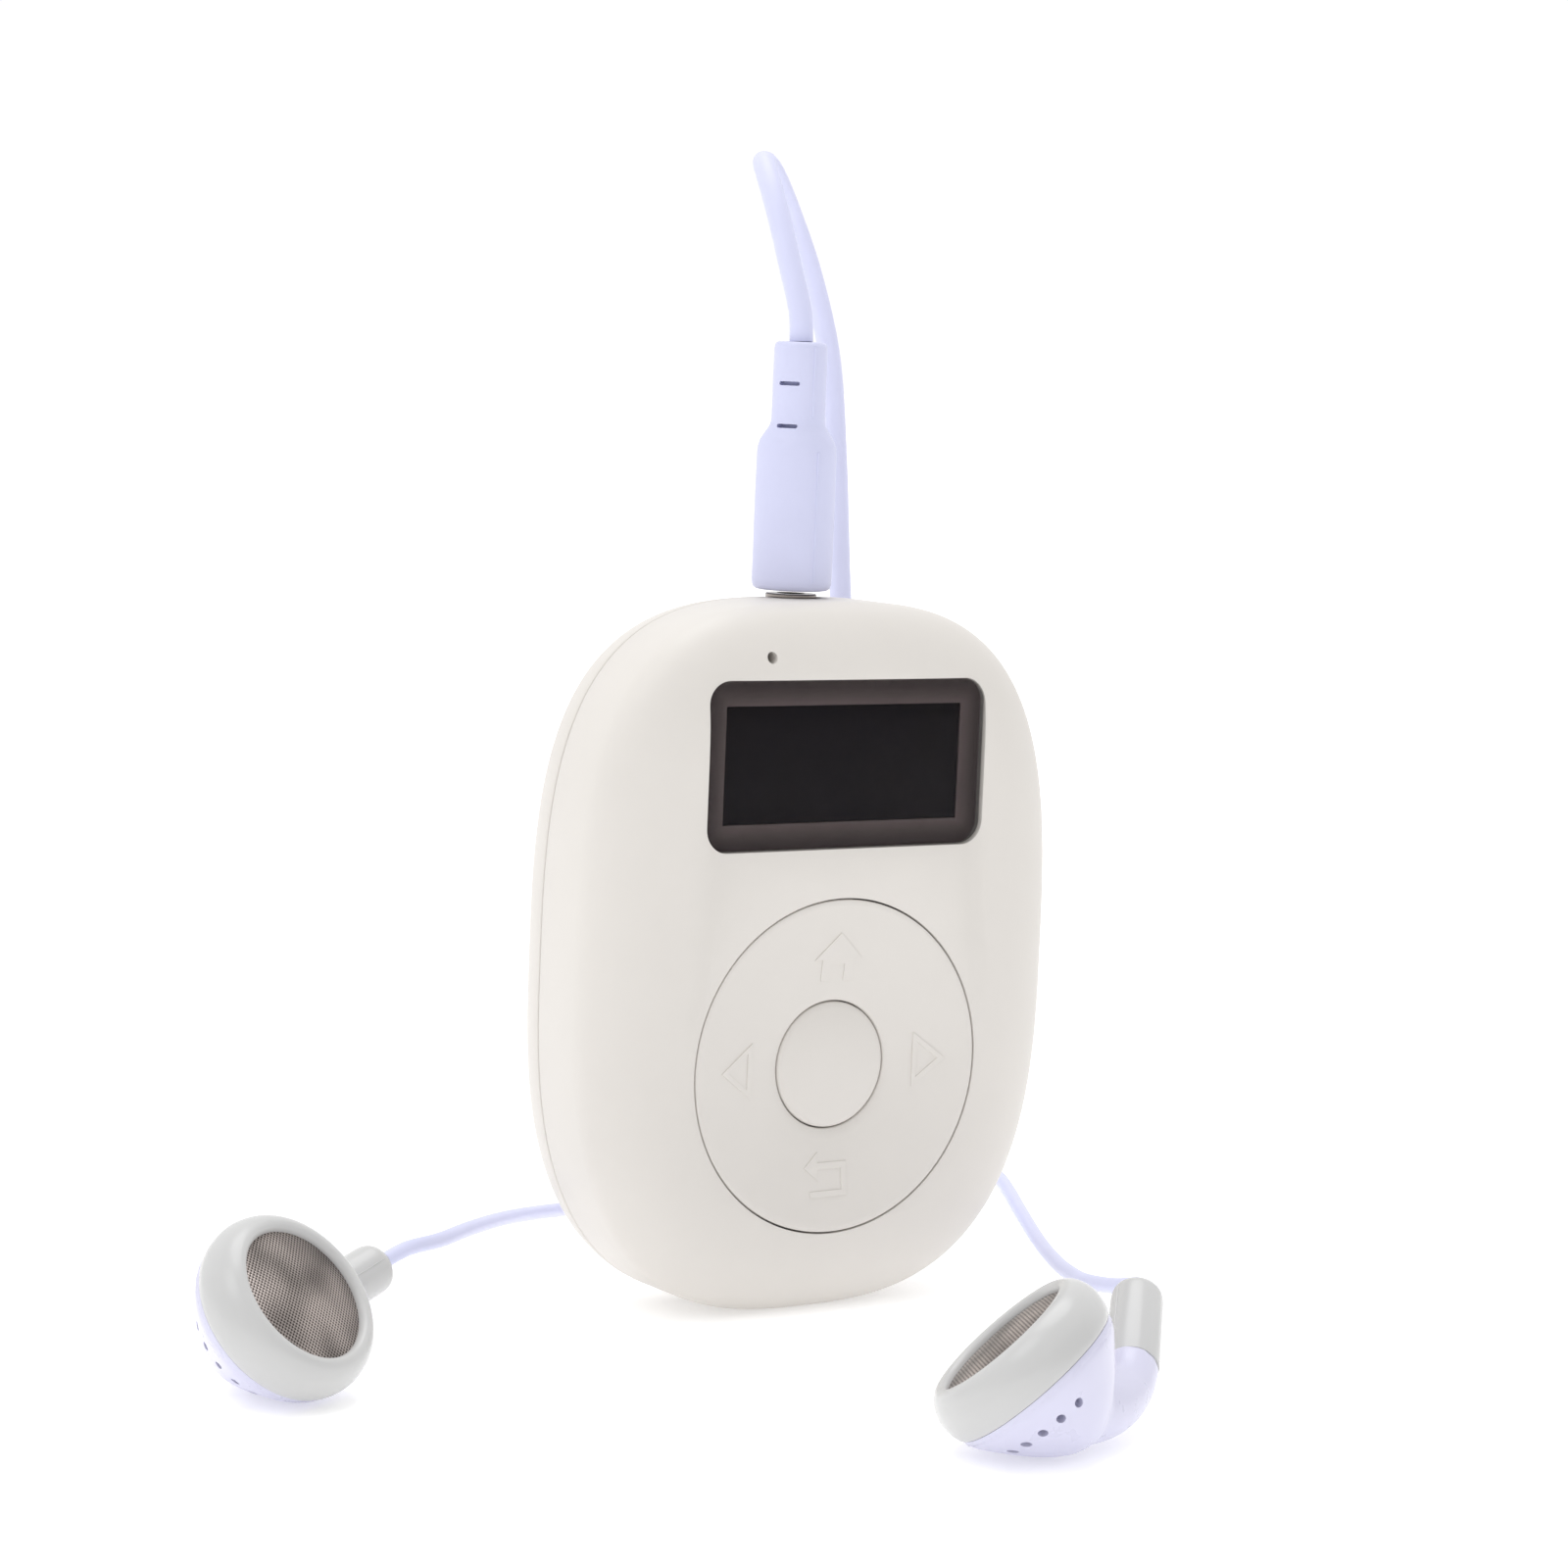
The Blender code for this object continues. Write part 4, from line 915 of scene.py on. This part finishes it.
def make_symbols():
    """House, backward and forward triangles, and a return arrow."""
    house = [(-1.5, 7.25), (-1.5, 9.1), (-2.25, 9.1), (0.1, 11.35), (2.45, 9.1), (1.7, 9.1), (1.7, 7.25),
             (0.8, 7.25), (0.8, 8.7), (-0.6, 8.7), (-0.6, 7.25)]
    raised_shape("symbol_home", house)
    raised_shape("symbol_previous", [(-11.4, 0.0), (-8.3, -2.3), (-8.3, 2.3)],
                 [[(-10.75, 0.0), (-8.65, 1.6), (-8.65, -1.6)]])
    raised_shape("symbol_next", [(11.4, 0.0), (8.3, 2.3), (8.3, -2.3)],
                 [[(10.75, 0.0), (8.65, -1.6), (8.65, 1.6)]])
    arrow = [(-2.5, -8.7), (-1.2, -7.5), (-1.2, -8.35), (1.75, -8.35), (1.75, -11.2), (-2.0, -11.2),
             (-2.0, -10.75), (1.25, -10.75), (1.25, -8.85), (-1.2, -8.85), (-1.2, -9.8)]
    raised_shape("symbol_return", arrow)


def make_button():
    profile = [(0.0, 7.36)]
    for i in range(1, 15):
        radius = BUTTON_R * 0.96 * i / 14
        profile.append((radius, 7.36 - 0.62 * (radius / BUTTON_R) ** 2.4))
    profile += [(BUTTON_R - 0.1, 6.70), (BUTTON_R - 0.02, 6.6), (BUTTON_R, 6.45), (BUTTON_R, 5.4),
                (6.0, 5.4), (6.0, 4.95), (0.0, 4.95)]
    button = revolve("centre_button_cap", profile, "button_plastic", facing_front(0.0, RING_Z), 128)
    finish_piece(button, "button", "button_plastic", "centre_button")


# -------------------------------------------------------------------- plug
def make_plug():
    """Moulded boot with two pairs of relief slots and its mould lines, then the turned contacts."""
    axis = at(0.0, JACK_Y, 0.0)
    shoulder = 73.9
    profile = [
        (0.0, RELIEF_TOP_Z), (1.15, RELIEF_TOP_Z), (RELIEF_R - 0.35, RELIEF_TOP_Z - 0.02),
        (RELIEF_R - 0.14, RELIEF_TOP_Z - 0.12), (RELIEF_R - 0.03, RELIEF_TOP_Z - 0.32),
        (RELIEF_R, RELIEF_TOP_Z - 0.6), (RELIEF_R + 0.02, 79.0), (RELIEF_R + 0.04, shoulder + 1.8),
        (RELIEF_R + 0.10, shoulder + 1.45), (RELIEF_R + 0.24, shoulder + 1.1),
        (RELIEF_R + 0.50, shoulder + 0.72), (BOOT_R - 0.38, shoulder + 0.30),
        (BOOT_R - 0.18, shoulder - 0.05), (BOOT_R - 0.06, shoulder - 0.5), (BOOT_R, shoulder - 1.1),
        (BOOT_R + 0.03, 68.0), (BOOT_R + 0.02, BOOT_BOTTOM_Z + 0.9), (BOOT_R - 0.02, BOOT_BOTTOM_Z + 0.45),
        (BOOT_R - 0.14, BOOT_BOTTOM_Z + 0.18), (BOOT_R - 0.36, BOOT_BOTTOM_Z + 0.04),
        (BOOT_R - 0.6, BOOT_BOTTOM_Z), (0.0, BOOT_BOTTOM_Z),
    ]
    boot = revolve("plug_boot_moulding", profile, "boot_plastic", axis, 128)
    cutters = []
    for turn in (PLUG_TURN - 24.0, PLUG_TURN + 156.0):
        for height in (75.15, 78.75):
            place = axis @ Matrix.Rotation(math.radians(turn), 4, "Z")
            outline = rounded_rectangle(0.95, 0.17, 0.16, 6)
            sections = [[(x, y, height + z) for x, z in outline] for y in (-3.2, -1.25)]
            cutters.append(loft("slot_cutter", sections, "boot_plastic", place))
    combine(boot, cutters, "DIFFERENCE")
    lines = [boot]
    for turn in (PLUG_TURN + 33.0, PLUG_TURN + 213.0):
        place = axis @ Matrix.Rotation(math.radians(turn), 4, "Z")
        for radius, low, high in ((RELIEF_R, 75.9, 81.9), (BOOT_R, 62.0, 73.0)):
            path = [(0.0, -radius - 0.01, low + (high - low) * i / 8) for i in range(9)]
            lines.append(tube("mould_line", path, 0.09, "boot_plastic", place, 8))
    boot = join_pieces("plug_boot_moulding", lines)
    finish_piece(boot, "plug", "cord_plastic", "plug_boot")
    contacts = {}
    for part, closed, profile in (
            ("sleeve", True, [(1.2, 60.9), (2.12, 60.9), (2.2, 60.82), (2.2, 60.33), (2.12, 60.25),
                              (1.8, 60.22), (1.75, 60.1), (1.75, 51.65), (1.7, 51.6), (1.2, 51.6)]),
            ("ring", True, [(1.2, 51.0), (1.7, 51.0), (1.75, 50.95), (1.75, 49.65), (1.7, 49.6),
                            (1.2, 49.6)]),
            ("tip", False, [(0.0, 60.0), (0.45, 60.0), (0.45, 49.0), (1.35, 49.0), (1.2, 48.7),
                            (1.14, 48.4), (1.24, 48.1), (1.66, 47.7), (1.75, 47.5), (1.72, 47.2),
                            (1.5, 46.85), (1.1, 46.6), (0.6, 46.4), (0.0, 46.35)])):
        contact = revolve("plug_%s_turned" % part, profile, "dark_chrome", axis, 96, closed=closed)
        contacts[part] = finish_piece(contact, "plug", "dark_chrome", "plug_" + part)
    return [boot, *contacts.values(), NODES["plug_insulator"]]


# ---------------------------------------------------------------- earbuds
def earbud_frame(place):
    """Origin in the middle of the grille, +Z out of it, +X towards the stem."""
    azimuth, elevation, turn = (math.radians(place[key]) for key in ("azimuth", "elevation", "turn"))
    out = Vector((math.cos(elevation) * math.cos(azimuth), math.cos(elevation) * math.sin(azimuth),
                  math.sin(elevation)))
    level = out.cross(Vector((0.0, 0.0, 1.0))).normalized()
    steep = out.cross(level)
    stem = level * math.cos(turn) + steep * math.sin(turn)
    side = out.cross(stem)
    return at(*place["centre"]) @ Matrix((stem, side, out)).transposed().to_4x4()


def eased(points, steps=6):
    """A profile with more points, on a smooth curve through the given ones."""
    route = [(r, h, 0.0) for r, h in points]
    spacing = length_of(route) / (len(points) * steps)
    return [(max(0.0, p.x), p.y) for p in smooth_path(route, spacing)]


def make_earbud(side, place):
    axes = earbud_frame(place)
    pieces = []
    rim = eased([(5.56, -0.28), (5.62, 0.02), (5.85, 0.30), (6.25, 0.34), (6.8, 0.02), (7.3, -0.65),
                 (7.6, -1.5), (7.66, -2.2), (7.55, -3.0), (7.3, -3.6), (7.0, -3.72)], 5)
    rim += [(6.4, -3.72), (6.4, -0.9), (5.6, -0.55)]
    ring = revolve(side + "_bud_rim", rim, "earbud_grey", axes, 128, closed=True)
    pieces.append(finish_piece(ring, "player", "earbud_grey", side + "_bud_ring"))
    dome = [(5.58 * i / 24, 0.22 - 0.50 * (i / 24) ** 2) for i in range(25)]
    under = [(r, h - 0.22) for r, h in reversed(dome)]
    grille = revolve(side + "_bud_mesh", dome + under, "grille_metal", axes, 96)
    pieces.append(finish_piece(grille, "player", "grille_metal", side + "_bud_grille"))
    pieces.append(make_bud_shell(side, axes))
    pieces.append(make_bud_sleeve(side, axes))
    pieces += [NODES[side + "_bud_driver"], NODES[side + "_bud_diaphragm"]]
    return pieces


def make_bud_shell(side, axes):
    """Dome and neck melted together, with a row of vents opposite the stem."""
    dome = [(0.0, -3.82), (6.6, -3.82), (7.1, -3.84)]
    dome += eased([(7.18, -3.92), (7.1, -4.3), (6.7, -4.95), (5.65, -6.25), (4.45, -7.65), (3.1, -8.95),
                   (1.6, -9.95), (0.0, -10.45)], 5)
    shell = revolve(side + "_bud_back", dome, "earbud_shell", axes, 96)
    route = smooth_path([(-0.6, 0.0, -7.0), (1.4, 0.0, -8.0), (3.6, 0.0, -9.2), (6.0, 0.0, -10.05),
                         (8.7, 0.0, -10.4), (11.55, 0.0, -9.97)], 0.5)
    count = len(route) - 1
    radii = [2.9 - 0.75 * min(1.0, (i / count) * 1.35) for i in range(count + 1)]
    neck = tube(side + "_neck", route, radii, "earbud_shell", axes, 32)
    combine(shell, [neck], "UNION")
    melt = shell.modifiers.new("melt", "REMESH")
    melt.mode = "VOXEL"
    melt.voxel_size = 0.17 * MM
    ease = shell.modifiers.new("ease", "SMOOTH")
    ease.factor = 0.5
    ease.iterations = 24
    settle(shell, 180.0)
    restore_rim(shell)
    vents = []
    for i in range(VENTS):
        angle = math.radians(VENT_MIDDLE + VENT_SPACING * (i - (VENTS - 1) / 2))
        out = Matrix.Rotation(angle, 4, "Z") @ Matrix.Rotation(math.radians(VENT_TILT), 4, "Y")
        where = axes @ at(0.0, 0.0, VENT_ORIGIN_Z) @ out
        vents.append(cylinder("vent_%d" % i, VENT_R, 5.6, 9.5, "earbud_shell", where, 24))
        vents[-1].data.transform(Matrix.Diagonal((VENT_STRETCH, 1.0, 1.0, 1.0)))
    combine(shell, vents, "DIFFERENCE")
    settle(shell, 50.0)
    return finish_piece(shell, "player", "earbud_shell", side + "_bud_shell")


def restore_rim(shell):
    """Bring the smoothed shell's front rim back out to meet the ring."""
    for vertex in shell.data.vertices:
        height = vertex.co.z / MM
        reach = math.hypot(vertex.co.x, vertex.co.y) / MM
        if height > -4.15 and reach > 6.3:
            vertex.co.x *= SHELL_RIM_R / reach
            vertex.co.y *= SHELL_RIM_R / reach
            if height > -4.02:
                vertex.co.z = SHELL_RIM_Z * MM


def make_bud_sleeve(side, axes):
    (start_x, start_z), (end_x, end_z) = STEM_START, STEM_END
    lean = math.atan2(end_x - start_x, end_z - start_z)
    length = math.hypot(end_x - start_x, end_z - start_z)
    place = axes @ at(start_x, 0.0, start_z) @ Matrix.Rotation(lean, 4, "Y")
    profile = [(0.0, length), (0.62, length)]
    profile += eased([(0.7, length - 0.01), (1.3, length - 0.16), (1.75, length - 0.5), (2.02, length - 1.0),
                      (STEM_R, length - 1.7)], 4)
    profile += [(STEM_R + 0.05, 0.2), (STEM_R + 0.02, 0.05), (STEM_R - 0.1, 0.0), (0.0, 0.0)]
    sleeve = revolve(side + "_bud_sleeve", profile, "earbud_grey", place, 96)
    lines = [sleeve]
    for turn in (1.0, -1.0):
        path = [(-turn * (STEM_R + 0.02), 0.0, 0.1 + (length - 1.9) * i / 6) for i in range(7)]
        path.append((-turn * 2.02, 0.0, length - 1.05))
        path.append((-turn * 1.72, 0.0, length - 0.5))
        lines.append(tube("seam", path, 0.06, "earbud_grey", place, 8))
    sleeve = join_pieces(side + "_bud_sleeve", lines)
    return finish_piece(sleeve, "player", "earbud_grey", side + "_bud_stem")


# ------------------------------------------------------------ stage, light
def make_stage():
    form = bmesh.new()
    bmesh.ops.create_grid(form, x_segments=4, y_segments=4, size=6000.0)
    made, tree, shader = new_material("floor")
    put(shader, Base_Color=(0.93, 0.93, 0.93, 1.0), Emission_Color=(1.0, 1.0, 1.0, 1.0),
        Emission_Strength=0.32, Roughness=0.9, Specular_IOR_Level=0.1)
    MATERIALS["floor"] = made
    floor = add_object("floor", mesh_from("floor", form), "floor", at(0.0, 0.0, -0.02))


def area_light(name, place, target, size, power):
    """A round lamp; place, target and size are in metres."""
    data = bpy.data.lights.new(name, "AREA")
    data.shape = "DISK"
    data.size = size
    data.energy = power
    light = bpy.data.objects.new(name, data)
    bpy.context.scene.collection.objects.link(light)
    way = Vector(place) - Vector(target)
    turn = way.to_track_quat("Z", "Y").to_matrix().to_4x4()
    light.matrix_world = Matrix.Translation(Vector(place)) @ turn


def room_share(tree, place, way, **values):
    """Map how far each direction in the room lies along the given way."""
    facing = add(tree, "ShaderNodeVectorMath", operation="DOT_PRODUCT")
    facing.inputs[1].default_value = way
    tree.links.new(place.outputs["Generated"], facing.inputs[0])
    share = add(tree, "ShaderNodeMapRange", **values)
    tree.links.new(facing.outputs["Value"], share.inputs["Value"])
    return share.outputs["Result"]


def make_world():
    """A white studio: brightest behind the object, with an unlit part in front and to the right."""
    world = bpy.data.worlds.new("studio")
    bpy.context.scene.world = world
    world.use_nodes = True
    tree = world.node_tree
    background = tree.nodes["Background"]
    put(background, Color=(1.0, 1.0, 1.0, 1.0))
    place = add(tree, "ShaderNodeTexCoord")
    level = room_share(tree, place, (0.56, 0.82, 0.0), _From_Min=-1.0, _From_Max=0.6, _To_Min=0.72,
                       _To_Max=1.02)
    unlit = room_share(tree, place, (0.555, -0.828, -0.08), interpolation_type="SMOOTHSTEP",
                       _From_Min=0.62, _From_Max=0.93, _To_Min=1.0, _To_Max=0.50)
    tree.links.new(maths(tree, "MULTIPLY", level, unlit), background.inputs["Strength"])
    area_light("key", (-0.55, -0.15, 0.75), (0.0, 0.0, 0.03), 0.5, 1.0)
    area_light("top", (0.1, 0.2, 1.1), (0.0, 0.0, 0.0), 0.9, 4.6)
    scene = bpy.context.scene
    scene.view_settings.view_transform = "Standard"
    scene.view_settings.look = "None"


def finish_cad_nodes():
    """Better materials on the CAD nodes that still show or lie inside."""
    slots = {entry["node"]: entry["material_slot"] for entry in frame["record"]["subparts"]}
    for name, node in NODES.items():
        made = MATERIALS.get(slots.get(name))
        if made is None:
            continue
        if not node.material_slots:
            node.data.materials.append(made)
        for slot in node.material_slots:
            slot.material = made


MATERIALS = {}


def main():
    make_camera()
    MATERIALS.update(make_materials())
    main_cord, main_path = make_main_cord()
    leads = make_leads()
    tie = make_cord_tie()
    split = make_y_split()
    plug = make_plug()
    buds = {side: make_earbud(side, place) for side, place in EARBUDS.items()}
    print("cord lengths in mm", length_of(main_path), [length_of(path) for _, path in leads.values()])
    make_front_shell()
    make_rear_cover()
    make_case_screws()
    make_screen()
    make_ring()
    make_symbols()
    make_button()
    finish_cad_nodes()
    make_stage()
    make_world()


main()
